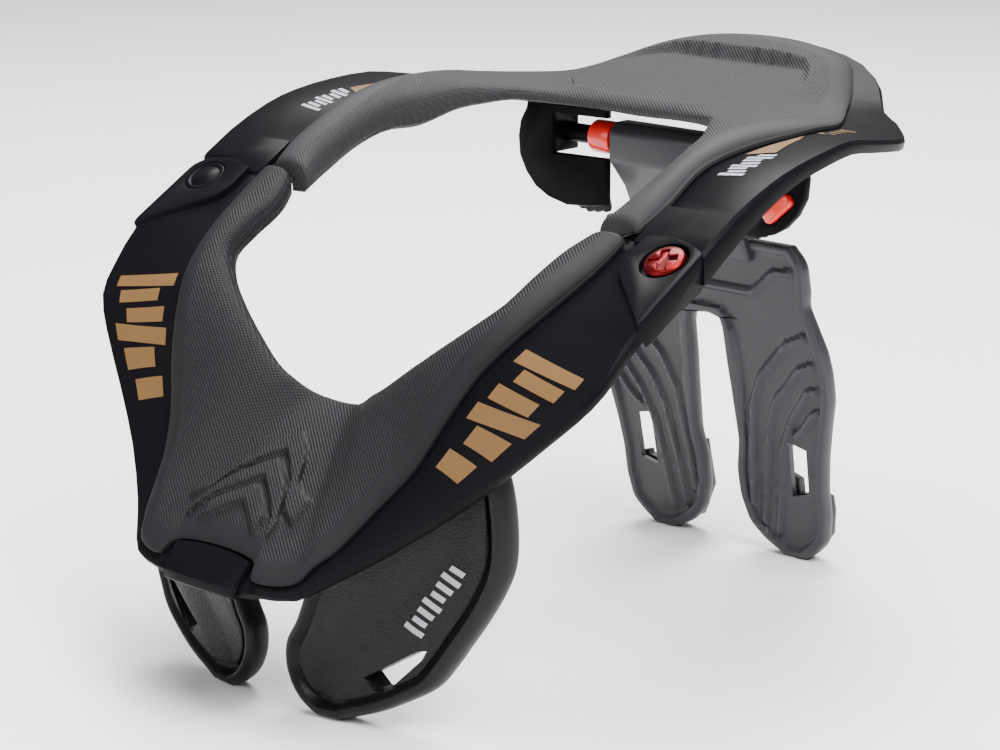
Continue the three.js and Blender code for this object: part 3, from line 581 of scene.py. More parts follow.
def pad_outline(s, u):
    """A point of the pad's closed section, u from 0 to 1: edge, crowned top, rolled neck edge, seat."""
    foot = s["pad"] - s["off_line"] * PAD_EDGE + s["over"] * 0.1
    if u < PAD_TOP_FROM:
        turn = u / PAD_TOP_FROM * math.pi
        return foot.lerp(s["pad"], math.sin(turn / 2)) + s["over"] * 0.15 * math.sin(turn)
    if u < PAD_TOP_TO:
        w = (u - PAD_TOP_FROM) / (PAD_TOP_TO - PAD_TOP_FROM)
        rise = s["crown"] * max(1 - abs(2 * w - 1) ** 2.6, 0.0) ** 0.6
        return s["pad"].lerp(s["neck"], w) + s["off_pad"] * rise
    w = (u - PAD_TOP_TO) / (1 - PAD_TOP_TO)
    wall, seat = s["wall"], PAD_OVERHANG - SEAT_GAP
    # Share of the way round, then how far out from the neck line and how high over it
    stops = (
        (0.0, 0.0, 0.0), (0.09, -0.45, -0.1 * wall), (0.2, -PAD_ROLL, -0.4 * wall),
        (0.36, -0.2, -0.78 * wall), (0.47, PAD_FOOT_INSET, -wall), (0.7, seat, -wall),
        (0.8, seat, PLATE - wall + SEAT_GAP),
    )
    end, out, high = stops[-1]
    if w >= end:
        last = s["neck"] + s["over"] * out + s["off_pad"] * high
        return last.lerp(foot, (w - end) / (1 - end))
    for (w0, o0, h0), (w1, o1, h1) in zip(stops, stops[1:]):
        if w < w1:
            k = (w - w0) / (w1 - w0)
            return s["neck"] + s["over"] * (o0 + (o1 - o0) * k) + s["off_pad"] * (h0 + (h1 - h0) * k)


def spread(steps):
    """Stations along a band, from (from row, to row, count) on one half, mirrored onto the other."""
    half = []
    for start, end, count in steps:
        half += [start + (end - start) * k / count for k in range(count)]
    last = steps[-1][1]
    return half + [last] + [2 * last - row for row in reversed(half)]


def pocket_depth(x, y):
    """How far inside the outline of the table's pocket a point of the plan lies, in millimetres."""
    x = abs(x)
    nearest = min(POCKET[0][1] - y, y - POCKET[-1][1])
    for (x0, y0), (x1, y1) in zip(POCKET, POCKET[1:]):
        run = Vector((x1 - x0, y1 - y0)).normalized()
        nearest = min(nearest, (x - x0) * run.y - (y - y0) * run.x)
    return nearest


def chevron_relief(x, along, sizes):
    """Height of the moulded chevrons at x and a distance from the rim, in millimetres."""
    height = 0.0
    for tip, reach, wide in CHEVRONS:
        line = abs(along - tip + abs(x) * CHEVRON_LEAN)
        inside = smoothstep(wide + CHEVRON_SOFT, wide, line)
        height = max(height, inside * smoothstep(reach, reach - CHEVRON_SOFT, abs(x)))
    return height * sizes.relief / MM


def pad_piece(name, band, steps, across, margin, shape):
    """Loft of a pad: sections at the given rows, closed round, open at both ends until trimmed."""
    stations = [band.station(row / band.spans) for row in spread(steps)]
    last, edge = len(stations) - 1, across - 1

    def nearest(v):
        return stations[min(int(v * last + 0.5), last)]

    def place(u, v):
        s = nearest(v)
        u = min(int(u * edge + 0.5), edge) / edge % 1.0 if u < 0.9999 else 0.0
        return shape(pad_outline(s, u), s, u)

    def marks(u, v):
        s = nearest(v)
        off = (u - PAD_TOP_FROM) / (PAD_TOP_TO - PAD_TOP_FROM) * (s["pad"] - s["neck"]).length
        return smoothstep(margin - 0.7, margin + 0.7, off) if u < PAD_SEAM else 0.0

    return recalculated(grid_piece(name, edge, last, place, seam=True, marks=marks))


def front_pad(sizes):
    """The chest pad, with its chevrons."""

    def shape(p, s, u):
        if PAD_TOP_FROM < u < PAD_TOP_TO and abs(p.x) < CHEST_HALF:
            p = p + s["off_pad"] * chevron_relief(p.x, (p - s["pad"]).length, sizes)
        return p

    obj = pad_piece("front_pad_foam", FRONT, FRONT_STEPS, FRONT_ACROSS, FRONT_MARGIN, shape)
    for side in ENDS:
        at = SPLIT_Y - SPLIT_TILT * PAD_ARM_X * side - 0.2
        trim_arm(obj, side, (PAD_ARM_X * side, at, 0), (0, 1, 0))
    return obj


def trim_arm(obj, side, point, normal):
    """Trims one end of a horseshoe: the other half is parted off first and joined again after."""
    edit(obj, (bpy.ops.mesh.bisect, {"plane_co": (0, 0, 0), "plane_no": (1, 0, 0)}))
    pick_faces(obj, lambda polygon: polygon.center.x * side < 0)
    bpy.ops.mesh.separate(type="SELECTED")
    bpy.ops.object.mode_set(mode="OBJECT")
    other = next(o for o in bpy.context.selected_objects if o != obj)
    trim_end(obj, Vector(point), normal)
    edit(joined(obj, [other]), (bpy.ops.mesh.remove_doubles, {"threshold": 0.01 * MM}))


def rear_pad():
    """The pad of the rear half, with the pocket in its head table."""

    def shape(p, _, u):
        inside = pocket_depth(p.x, p.y)
        floor = POCKET_FLOOR + (p.y - POCKET[0][1]) * POCKET_SLOPE
        if PAD_TOP_FROM < u < PAD_TOP_TO and inside > -1.5 and p.z > floor:
            p = Vector((p.x, p.y, p.z + (floor - p.z) * smoothstep(-1.3, 1.5, inside)))
        return p

    obj = pad_piece("rear_pad_foam", REAR, REAR_STEPS, REAR_ACROSS, REAR_MARGIN, shape)
    for side in ENDS:
        trim_arm(obj, side, (PAD_ARM_X * side, REAR_PAD_START, 0), (0, -1, 0))
    return obj


def lining_piece(side):
    """Soft ribbed lining under a housing: the solid's form, remeshed, relaxed and ribbed."""
    obj = refined("housing_lining_" + ENDS[side], "lining_foam_" + ENDS[side])
    modified(obj, "REMESH", mode="VOXEL", voxel_size=0.9 * MM)
    modified(obj, "SMOOTH", factor=0.5, iterations=6)
    for vertex in obj.data.vertices:
        wave = math.sin(2 * math.pi * (vertex.co.x * side + 0.4 * vertex.co.z) / (LINING_RIB * MM))
        vertex.co += vertex.normal * LINING_RIB_DEPTH * MM * wave
    return smooth(obj, 180)


# ---- Wings
WING_MIDDLE = 5.0  # depth where the round edges of face and back meet
WING_ROUND = 3.4
WING_BACK_ROUND = 2.6
WING_SUNK = 3.2
WING_INSET = WING_RIM + 0.35
PANEL_FACE, PANEL_BACK = 1.3, 3.1
PANEL_ROUND, PANEL_ROLL = 1.1, 0.9
CREASE_DEPTH, CREASE_SHARE = 2.2, 0.24
EDGE_EASE = 0.125  # draws the grid's lines towards the edges
ABOVE = Vector((0, 20))  # runs an outline on past the wing's top, which the frame hides
WING_SLOT = ((0.46, 0.18), (0.5, 0.14), (0.55, 0.14), (0.695, 0.275), (0.715, 0.31), (0.68, 0.305))
DASH_FROM, DASH_TO = Vector((0.66, 0.37)), Vector((0.84, 0.62))
DASH_COUNT, DASH_SHARE, DASH_DEPTH = 8, 0.55, 1.05
DASH_REACH = (4.0, 2.9, 3.4)


def round_trip(u, ease):
    """Share of the way across a closed section: out over its face, and back behind."""
    share = 2 * u if u <= 0.5 else 2 - 2 * u
    return share - ease * math.sin(2 * math.pi * share)


def quarter(distance, radius):
    """Height of a quarter round, from 0 to 1, at a distance in from its edge."""
    return math.sqrt(max(1 - (1 - min(distance / radius, 1.0)) ** 2, 0.0))


def wing_row(t):
    """Height, inner edge, crease and outer edge of the wing, as shares, from its foot to its top."""
    return catmull([Vector(row) for row in WING_ROWS] + [Vector((1.0, 0.66, 0.82, 0.95))], t)


def wing_edge():
    """The wing's outline in the plan of its plate: up the outer edge, past its top, down the inner."""
    steps = [wing_row(k / 60) for k in range(61)]
    outer = [Vector((r.w * WING_REACH, r.x * WING_HEIGHT)) for r in steps]
    inner = [Vector((r.y * WING_REACH, r.x * WING_HEIGHT)) for r in steps]
    return outer + [outer[-1] + ABOVE, inner[-1] + ABOVE] + inner[::-1]


def edge_distance(p, outline):
    """Distance from a point to a closed outline."""
    best = 1e9
    for a, b in zip(outline, outline[1:] + outline[:1]):
        run = b - a
        size = run.length_squared
        k = min(max((p - a).dot(run) / size, 0.0), 1.0) if size > 1e-12 else 0.0
        best = min(best, (p - a - run * k).length_squared)
    return math.sqrt(best)


def wing_at(x, z, depth, side):
    """A point of the swept wing: depth goes back from its face."""
    return Vector((x * side, WING_SWEEP * (x / WING_REACH) ** 2 - WING_FORWARD + depth, z))


def crease_fold(x, crease, width):
    """Depth of the soft fold that runs up a wing of that width."""
    return CREASE_DEPTH * max(1 - abs(x - crease) / (CREASE_SHARE * width), 0.0) ** 1.1


def wing_foam(side):
    """Foam layer of a wing: a raised round bead along its edge, a recess inside it, a flat back."""
    outline = wing_edge()
    found = {}

    def place(u, v):
        row = wing_row(v)
        width = (row.w - row.y) * WING_REACH
        x = row.y * WING_REACH + width * round_trip(u, EDGE_EASE)
        z = row.x * WING_HEIGHT
        key = (round(x, 3), round(z, 3))
        if key not in found:
            found[key] = edge_distance(Vector((x, z)), outline)
        d = found[key]
        if u > 0.5:
            depth = WING_MIDDLE + (WING_FOAM - WING_MIDDLE) * quarter(d, WING_BACK_ROUND)
        elif d < WING_ROUND:
            depth = WING_MIDDLE * (1 - quarter(d, WING_ROUND))
        else:
            sunk = WING_SUNK + crease_fold(x, row.z * WING_REACH, width)
            depth = sunk * smoothstep(WING_ROUND + 0.2, WING_RIM, d)
        return wing_at(x, z, depth, side)

    obj = grid_piece("wing_foam_" + ENDS[side], 96, 84, place, seam=True)
    close_holes(obj)
    return recalculated(obj)


def close_holes(obj):
    """Puts a face over each open end."""
    only(obj)
    bpy.ops.object.mode_set(mode="EDIT")
    bpy.ops.mesh.select_all(action="DESELECT")
    bpy.ops.mesh.select_mode(type="EDGE")
    bpy.ops.mesh.select_non_manifold(extend=False, use_wire=False, use_multi_face=False,
                                     use_non_contiguous=False, use_verts=False)
    bpy.ops.mesh.edge_face_add()
    done_picking()


def halved(near, far, beyond, rounds):
    """The place between near and far where beyond(place) turns true, found by halving."""
    for _ in range(rounds):
        half = 0.5 * (near + far)
        near, far = (near, half) if beyond(half) else (half, far)
    return far


def wing_skin(side):
    """Grained panel in the wing's recess, with a pressed crease and a rolled edge."""
    outline = wing_edge()
    rows = []
    for k in range(121):
        row = wing_row(0.06 + 0.94 * k / 120)
        z = row.x * WING_HEIGHT
        crease, x0, x1 = row.z * WING_REACH, row.y * WING_REACH, row.w * WING_REACH

        def inside(x, height=z, margin=0.0):
            return edge_distance(Vector((x, height)), outline) >= WING_INSET + margin

        middle = 0.5 * (x0 + x1)
        if inside(middle, margin=0.5):
            ends = (halved(edge, middle, inside, 12) for edge in (x0, x1))
            rows.append((z, *ends, crease, x1 - x0))
    inner = [Vector((r[1], r[0])) for r in rows]
    outer = [Vector((r[2], r[0])) for r in rows]
    panel = outer + [outer[-1] + ABOVE, inner[-1] + ABOVE] + inner[::-1]

    def place(u, v):
        at = v * (len(rows) - 1)
        i = min(int(at), len(rows) - 2)
        z, x0, x1, crease, width = (a + (b - a) * (at - i) for a, b in zip(rows[i], rows[i + 1]))
        x = x0 + (x1 - x0) * round_trip(u, EDGE_EASE)
        roll = PANEL_ROLL * (1 - quarter(edge_distance(Vector((x, z)), panel), PANEL_ROUND))
        face = PANEL_FACE + roll if u <= 0.5 else PANEL_BACK - roll
        return wing_at(x, z, face + crease_fold(x, crease, width), side)

    obj = grid_piece("wing_panel_" + ENDS[side], 88, 96, place, seam=True)
    close_holes(obj)
    return recalculated(obj)


def slot_cutter(side):
    """The wing's strap slot as a tall block, to be cut through both layers."""
    points = [(x * WING_REACH * side, z * WING_HEIGHT) for x, z in WING_SLOT]
    obj = outline_piece("slot_cutter", points, lambda x, z: to_frame(Vector((x, -110, z))))
    return pulled(obj, (0, 0.08, 0))


def cut_by(obj, cutter):
    """Takes another piece away from one, and removes it."""
    modified(obj, "BOOLEAN", operation="DIFFERENCE", object=cutter, solver="EXACT")
    bpy.data.objects.remove(cutter)
    return obj


def tucked(obj):
    """Takes away what would stand in the front frame or its pad, and keeps the largest piece left."""
    for part in ("front_frame", "front_pad"):
        cut_by(obj, refined(part, "clearance"))
    edit(obj, (bpy.ops.mesh.separate, {"type": "LOOSE"}))
    pieces = sorted(bpy.context.selected_objects, key=lambda o: len(o.data.vertices))
    for scrap in pieces[:-1]:
        bpy.data.objects.remove(scrap)
    return recalculated(pieces[-1])


# ---- Strut
# Ridges of the plate's right half, as shares like its outline: the ledge, then the leg's hooked ribs
STRUT_RIDGES = (
    ((0.0, 0.835), (0.42, 0.835), (0.6, 0.905), (0.74, 0.915)),
    ((0.8, 0.72), (0.66, 0.69), (0.42, 0.575), (0.33, 0.48), (0.28, 0.3), (0.25, 0.15)),
    ((0.84, 0.635), (0.74, 0.615), (0.53, 0.505), (0.45, 0.42), (0.39, 0.26), (0.34, 0.1)),
    ((0.86, 0.56), (0.8, 0.55), (0.64, 0.45), (0.555, 0.36), (0.5, 0.22), (0.45, 0.075)),
    ((0.86, 0.49), (0.82, 0.48), (0.74, 0.43), (0.66, 0.4)),
    ((0.2, 0.7), (0.235, 0.5), (0.21, 0.38)),
)
RIDGE_HALF = 2.2
PLATE_EDGE = 2.2
BORDER = 3.9
SUNK = 2.1
PLATE_ROWS = (0.0, 0.12, 0.35, 0.7, 1.15, 1.7, 2.4, 3.3)  # heights over an end, closer on its round
LEG_STEPS, BODY_STEPS, PLATE_ACROSS = 74, 24, 128
PLATE_EASE = 0.1
CORNER_EASE = 1.8
LEG_SLOT = ((0.59, 0.375), (0.73, 0.36), (0.72, 0.215), (0.58, 0.2))
PIN_BORE = 4.3
NECK_ROUND = 1.6


def level(line, z):
    """x where an outline that runs steadily up or down in z passes a height, with its corners eased."""
    total = 0.0
    heights = [p[1] * YOKE_TOP for p in line]
    for shift in (-CORNER_EASE, 0.0, CORNER_EASE):
        at = min(max(z + shift, min(heights)), max(heights))
        for (x0, z0), (x1, z1) in zip(line, line[1:]):
            low, high = sorted((z0 * YOKE_TOP, z1 * YOKE_TOP))
            if low <= at <= high:
                w = (at - z0 * YOKE_TOP) / ((z1 - z0) * YOKE_TOP)
                total += (x0 + (x1 - x0) * w) * YOKE_REACH
                break
    return total / 3


def strut_at(x, z, depth):
    """A point of the leaning plate: depth goes back from the face towards the neck."""
    return Vector((x, YOKE_FOOT_Y - YOKE_LEAN * z + depth, z))


def strut_plate(side):
    """Half of the moulded plate, both faces: round edge, raised border, sunk field, stiffening ridges."""
    outer, inner = YOKE_HALF[OUTER_SIDE], YOKE_HALF[INNER_SIDE]
    crotch, notch = YOKE_HALF[CROTCH][1] * YOKE_TOP, YOKE_HALF[NOTCH][1] * YOKE_TOP
    end = PLATE_ROWS[-1]
    legs = [end + (crotch - end) * k / LEG_STEPS for k in range(1, LEG_STEPS + 1)]
    body = [notch + end + (YOKE_TOP - notch - 2 * end) * k / BODY_STEPS for k in range(1, BODY_STEPS)]
    heights = [*PLATE_ROWS, *legs, *(notch + c for c in PLATE_ROWS), *body]
    heights += [YOKE_TOP - c for c in reversed(PLATE_ROWS)]
    spans = [(level(inner, z) if z <= crotch else 0.0, level(outer, z)) for z in heights]
    edge = [Vector((x1, z)) for (_, x1), z in zip(spans, heights)]
    back = [Vector((x0, z)) for (x0, _), z in zip(spans, heights) if z <= crotch]
    middle = [Vector((-20.0, YOKE_TOP)), Vector((-20.0, notch)), Vector((0.0, notch))]
    outline = edge + middle + back[::-1]
    ridges = [[Vector((x * YOKE_REACH, z * YOKE_TOP)) for x, z in ridge] for ridge in STRUT_RIDGES]
    found = {}

    def relief(x, z):
        key = (round(x, 3), round(z, 3))
        if key not in found:
            p = Vector((x, z))
            d = edge_distance(p, outline)
            if d < PLATE_EDGE:
                found[key] = 0.5 * YOKE_WALL * (1 - quarter(d, PLATE_EDGE))
            else:
                near = min(line_distance(p, ridge) for ridge in ridges)
                rise = 1 - smoothstep(RIDGE_HALF * 0.35, RIDGE_HALF, near)
                found[key] = SUNK * smoothstep(BORDER, BORDER + 1.3, d) * (1 - 0.95 * rise)
        return found[key]

    def place(u, v):
        i = min(int(v * (len(heights) - 1) + 0.5), len(heights) - 1)
        x = spans[i][0] + (spans[i][1] - spans[i][0]) * round_trip(u, PLATE_EASE)
        depth = relief(x, heights[i])
        return strut_at(x * side, heights[i], depth if u <= 0.5 else YOKE_WALL - depth)

    return grid_piece("strut_plate", PLATE_ACROSS, len(heights) - 1, place, seam=True)


def line_distance(p, line):
    """Distance from a point to an open line."""
    best = 1e9
    for a, b in zip(line, line[1:]):
        run = b - a
        k = min(max((p - a).dot(run) / run.length_squared, 0.0), 1.0)
        best = min(best, (p - a - run * k).length_squared)
    return math.sqrt(best)


def joined(obj, parts):
    """Joins other pieces to one."""
    bpy.ops.object.select_all(action="DESELECT")
    for part in parts:
        part.select_set(True)
    obj.select_set(True)
    bpy.context.view_layer.objects.active = obj
    bpy.ops.object.join()
    return obj


def pulled(obj, run):
    """Pulls a flat outline out into a block."""
    edit(obj, (bpy.ops.mesh.extrude_region_move, {"TRANSFORM_OT_translate": {"value": run}}))
    return recalculated(obj)


def strut():
    """Both halves of the plate, sewn along the middle, with the strap slots cut through the legs."""
    plate = joined(strut_plate(1), [strut_plate(-1)])
    edit(plate, (bpy.ops.mesh.remove_doubles, {"threshold": 0.03 * MM}))
    recalculated(plate)
    for side in ENDS:
        points = [(x * YOKE_REACH * side, z * YOKE_TOP) for x, z in LEG_SLOT]
        cutter = outline_piece("leg_slot", points, lambda x, z: to_frame(strut_at(x, z, -20)))
        cut_by(plate, pulled(cutter, (0, 0.05, 0)))
    return smooth(plate, 40)


def strut_neck():
    """Neck of the strut, which turns on the pins: its side profile pulled out across, edges rounded."""
    top_y = YOKE_FOOT_Y - YOKE_LEAN * YOKE_TOP
    profile = (
        (top_y + 1, YOKE_TOP - 10), (top_y + YOKE_WALL, YOKE_TOP - 10), (PIN_Y + 14, PIN_Z - 16),
        (PIN_Y + 9, PIN_Z + 5), (PIN_Y + 4, PIN_Z + 8), (PIN_Y - 4, PIN_Z + 8), (PIN_Y - 8, PIN_Z + 4),
        (PIN_Y - 8, PIN_Z - 8), (PIN_Y + 2, PIN_Z - 20),
    )
    obj = outline_piece("strut_neck", profile, lambda y, z: to_frame(Vector((-NECK_HALF, y, z))))
    pulled(obj, (2 * NECK_HALF * MM, 0, 0))
    modified(obj, "BEVEL", width=NECK_ROUND * MM, segments=3, limit_method="ANGLE",
             angle_limit=math.radians(25))
    bpy.ops.object.select_all(action="DESELECT")
    bpy.ops.mesh.primitive_cylinder_add(vertices=40, radius=PIN_BORE * MM, depth=0.08)
    bore = bpy.context.active_object
    for vertex in bore.data.vertices:
        x, y, z = vertex.co
        vertex.co = (z, y + (PIN_Y + JOINT_Y) * MM, x + PIN_Z * MM)
    return smooth(cut_by(obj, recalculated(bore)), 35)


# ---- Prints
PRINT_LIFT = 0.16
UP, AHEAD = Vector((0, 0, 1)), Vector((0, -1, 0))
BAR_LOW, BAR_HIGH = (0.0, 0.22, 0.08), (0.0, 0.1, 0.24)  # what the bars' ends leave free, in turn
STRIPE = ((3.5, 0.1), (5.3, 0.06), (4.9, 0.2), (3.75, 0.42))
# Rows of bars: from and to row, shares between pad and rim, count, slant in rows, gap, steps of a bar's grid
CHEST_BARS = ((3.05, 5.95), (0.14, 0.84), 6, 0.26, 0.24, (4, 10))
TRIM_DASHES = ((5.75, 7.1), (0.1, 0.36), 4, 0.1, 0.55, (2, 5))
ARM_DASHES = ((2.15, 3.6), (0.22, 0.54), 8, 0.08, 0.34, (2, 6))


def band_patch(name, band, side, corners, steps):
    """A thin printed patch on the frame: corners are (row, share from pad to rim) in order round it."""
    a, b, c, d = (Vector(corner) for corner in corners)

    def place(u, v):
        row, w = a.lerp(b, u).lerp(d.lerp(c, u), v)
        return band.on_frame(row_time(band, row, side), w, PRINT_LIFT)

    return grid_piece(name, *steps, place)


def outward(obj, direction):
    """Turns a patch so that its faces look away from the brace."""
    if sum(p.normal.dot(direction) * p.area for p in obj.data.polygons) < 0:
        edit(obj, (bpy.ops.mesh.flip_normals, {}))
    return obj


def bars(name, band, side, rows, shares, count, slant, gap, steps):
    """A row of slanted bars along the frame, whose lengths change in turn."""
    parts = []
    pitch = (rows[1] - rows[0]) / count
    low, high = shares
    for k in range(count):
        r0 = rows[0] + pitch * k
        r1 = r0 + pitch * (1 - gap)
        w0 = low + (high - low) * BAR_LOW[k % 3]
        w1 = high - (high - low) * BAR_HIGH[k % 3]
        corners = ((r0, w0), (r1, w0), (r1 + slant, w1), (r0 + slant, w1))
        parts.append(band_patch(f"{name}_{k}", band, side, corners, steps))
    obj = joined(parts[0], parts[1:])
    obj.name = obj.data.name = name
    return outward(obj, UP)


def wing_dashes(side):
    """Short slanted dashes printed along the wing's outer side, in the foot of its crease."""
    size = Vector((WING_REACH, WING_HEIGHT))
    run = (DASH_TO - DASH_FROM) * size
    across = Vector((run.y, -run.x)).normalized()
    parts = []
    for k in range(DASH_COUNT):

        def place(u, v, k=k):
            along = (k + DASH_SHARE * u) / DASH_COUNT + 0.03 * (v - 0.5)
            x, z = DASH_FROM * size + run * along + across * DASH_REACH[k % 3] * (2 * v - 1)
            row = wing_row(halved(0.0, 1.0, lambda t: wing_row(t).x * WING_HEIGHT >= z, 20))
            fold = crease_fold(x, row.z * WING_REACH, (row.w - row.y) * WING_REACH)
            return wing_at(x, z, DASH_DEPTH + fold, side)

        parts.append(grid_piece(f"wing_dash_{k}", 3, 12, place))
    obj = joined(parts[0], parts[1:])
    obj.name = obj.data.name = "wing_dashes_" + ENDS[side]
    return outward(obj, AHEAD)


# ---- Settings that a user would change
def shade(name, description, hex_colour):
    """A colour setting, given as sRGB hex."""
    return bpy.props.FloatVectorProperty(name=name, description=description, subtype="COLOR", size=3,
                                         min=0.0, max=1.0, default=linear(hex_colour)[:3])


def length(name, description, default_mm):
    """A length setting, given in millimetres."""
    return bpy.props.FloatProperty(name=name, description=description, unit="LENGTH", precision=5,
                                   min=0.0, default=default_mm * MM)


def angle(name, description, default_degrees):
    """An angle setting, given in degrees."""
    return bpy.props.FloatProperty(name=name, description=description, subtype="ANGLE",
                                   default=math.radians(default_degrees))


class BraceColours(bpy.types.PropertyGroup):
    """Colours of the brace's materials"""

    frame: shade("Frame", "Nylon of both halves", "0b0a0d")
    rear_pad: shade("Rear pad", "Foam of the rear half", "2a2a2c")
    # Painted shade: the chest pad's foam is set darker than the same foam of the rear pad
    front_pad: shade("Front pad", "Foam of the front half, darkened as painted shade", "161518")
    wing: shade("Wings", "Film and foam of the chest wings", "0c0b0e")
    strut: shade("Strut", "Polypropylene of the back strut", "2e2d31")
    red: shade("Red parts", "Lock tab and pin sleeves", "e0241a")
    button: shade("Button", "Anodised release button", "5e0409")
    gold: shade("Gold ink", "Large bars and stripes", "60472a")
    pale: shade("Grey ink", "Small dashes", "8e9195")
    floor: shade("Floor", "Studio floor", "fafafa")


class BraceSizes(bpy.types.PropertyGroup):
    """Sizes of the finishing detail"""

    edge: length("Edge round", "Round along the edges of moulded plastic", 0.5)
    relief: length("Chest relief", "Height of the chevrons moulded into the chest pad", 1.9)
    camera_reach: length("Camera distance", "From the middle of the brace to the camera", 1222.0)
    lens: bpy.props.FloatProperty(name="Lens", description="Focal length", unit="CAMERA", default=111.9)
    azimuth: angle("Azimuth", "Camera's turn about the brace", 42.65)
    elevation: angle("Elevation", "Camera's height over the brace", 14.33)


# ---- Operators
MIDDLE = Vector((0.0, -0.0067, 0.102))
WORLD_LIGHT = 0.28
# Round soft lamps: name, azimuth and elevation in degrees, distance and width in metres, power in watts
LAMPS = (
    ("key", 75, 50, 1.9, 1.1, 62.0),
    ("fill", -15, 25, 2.2, 1.6, 26.0),
    ("back", 215, 55, 1.9, 1.2, 62.0),
    ("top", 20, 85, 1.8, 1.3, 52.0),
)
GROOVE = (11.5, 3.15, 1.8)  # length, width and height of a groove's cutter


class BRACE_OT_front_pad(bpy.types.Operator):
    """Models the chest pad"""

    bl_idname = "brace.front_pad"
    bl_label = "Front pad"

    def execute(self, context):
        obj = smooth(front_pad(context.scene.brace_sizes), 50)
        dressed(obj, "shaded_front_foam", "front_half", "pad_foam", "front_pad")
        return {"FINISHED"}


class BRACE_OT_rear_pad(bpy.types.Operator):
    """Models the pad of the rear half, with the table behind the head"""

    bl_idname = "brace.rear_pad"
    bl_label = "Rear pad"

    def execute(self, context):
        obj = smooth(rear_pad(), 50)
        dressed(obj, "foam_rear", "rear_half", "pad_foam", "rear_pad")
        return {"FINISHED"}


class BRACE_OT_linings(bpy.types.Operator):
    """Models the ribbed linings under the housings"""

    bl_idname = "brace.linings"
    bl_label = "Housing linings"

    def execute(self, context):
        for side, end in ENDS.items():
            obj = lining_piece(side)
            dressed(obj, "foam_rear", "rear_half", "pad_foam", "housing_lining_" + end)
        return {"FINISHED"}


class BRACE_OT_frames(bpy.types.Operator):
    """Finishes the frames of both halves and the chest tab"""

    bl_idname = "brace.frames"
    bl_label = "Frames"

    def execute(self, context):
        edge = context.scene.brace_sizes.edge / MM
        bodies = {"front_frame": "front_half", "rear_frame": "rear_half", "front_tab": "front_half"}
        for part, body in bodies.items():
            dressed(refined(part, part + "_shell", edge), "frame", body, "frame_plastic", part)
        return {"FINISHED"}


class BRACE_OT_wings(bpy.types.Operator):
    """Models the chest wings: foam with a grained panel in it"""

    bl_idname = "brace.wings"
    bl_label = "Chest wings"

    def execute(self, context):
        for side, end in ENDS.items():
            foam = tucked(cut_by(wing_foam(side), slot_cutter(side)))
            dressed(smooth(foam, 40), "wing_foam", "front_half", "wing_foam", "chest_wing_pad_" + end)
            panel = tucked(cut_by(wing_skin(side), slot_cutter(side)))
            dressed(smooth(panel, 40), "wing_skin", "front_half", "wing_skin", "chest_wing_" + end)
        return {"FINISHED"}


class BRACE_OT_joints(bpy.types.Operator):
    """Finishes the release button and the hinge cap"""

    bl_idname = "brace.joints"
    bl_label = "Button and cap"

    def execute(self, context):
        button = refined("release_button", "button_turned", 0.5)
        groove_face(button)
        dressed(smooth(button, 35), "anodised", "button", "anodised_red", "release_button")
        cap = refined("hinge_cap", "cap_moulded", 0.4)
        ring_face(cap)
        dressed(smooth(cap, 35), "frame", "front_half", "frame_plastic", "hinge_cap")
        return {"FINISHED"}


def ring_face(obj):
    """Presses a shallow ring into the largest flat face that looks up."""
    face = max((p for p in obj.data.polygons if p.normal.z > 0.5), key=lambda p: p.area).index
    pick_faces(obj, lambda p: p.index == face)
    for thickness, depth in ((1.0, 0.0), (0.25, -0.5), (0.5, 0.0), (0.25, 0.5)):
        bpy.ops.mesh.inset(thickness=thickness * MM, depth=depth * MM)
    done_picking()


def groove_face(obj):
    """Cuts the crossed grip grooves into the button's face, which looks out along its joint."""
    press = next(j for j in frame["joints"] if j["name"] == "release_button_press")
    out = -Vector(press["axis"]).normalized()
    top = max(v.co.dot(out) for v in obj.data.vertices)
    rim = [v.co for v in obj.data.vertices if v.co.dot(out) > top - 0.4 * MM]
    centre = sum(rim, Vector()) / len(rim)
    first = out.cross(UP).normalized()
    for turn in (25, 115):
        bpy.ops.object.select_all(action="DESELECT")
        bpy.ops.mesh.primitive_cube_add(size=1.0)
        cutter = bpy.context.active_object
        run = first * math.cos(math.radians(turn)) + out.cross(first) * math.sin(math.radians(turn))
        for vertex in cutter.data.vertices:
            x, y, z = (share * size * MM for share, size in zip(vertex.co, GROOVE))
            vertex.co = centre + run * x + out.cross(run) * y + out * z
        cut_by(obj, recalculated(cutter))


class BRACE_OT_housings(bpy.types.Operator):
    """Finishes the housings of the strut's pins, the pins, their sleeves and the lock tab"""

    bl_idname = "brace.housings"
    bl_label = "Housings and pins"

    def execute(self, context):
        edge = context.scene.brace_sizes.edge / MM
        for end in ENDS.values():
            for part, name, key, slot, width in (
                ("adjuster_housing_", "housing_shell_", "frame", "frame_plastic", edge),
                ("pivot_pin_", "pin_steel_", "frame", "frame_plastic", 0.4),
                ("pin_sleeve_", "sleeve_moulded_", "red", "red_plastic", 0.5),
            ):
                dressed(refined(part + end, name + end, width), key, "rear_half", slot, part + end)
        dressed(refined("lock_tab", "lock_tab_moulded", 0.4), "red", "lock", "red_plastic", "lock_tab")
        return {"FINISHED"}


class BRACE_OT_strut(bpy.types.Operator):
    """Models the back strut and its leg pads"""

    bl_idname = "brace.strut"
    bl_label = "Back strut"

    def execute(self, context):
        plate = strut()
        neck = strut_neck()
        dressed(joined(plate, [neck]), "strut", "back_strut", "strut_plastic", "back_yoke")
        for end in ENDS.values():
            pad = refined("leg_pad_" + end, "leg_backing_" + end, 0.8)
            dressed(pad, "strut", "back_strut", "strut_plastic", "leg_pad_" + end)
        return {"FINISHED"}


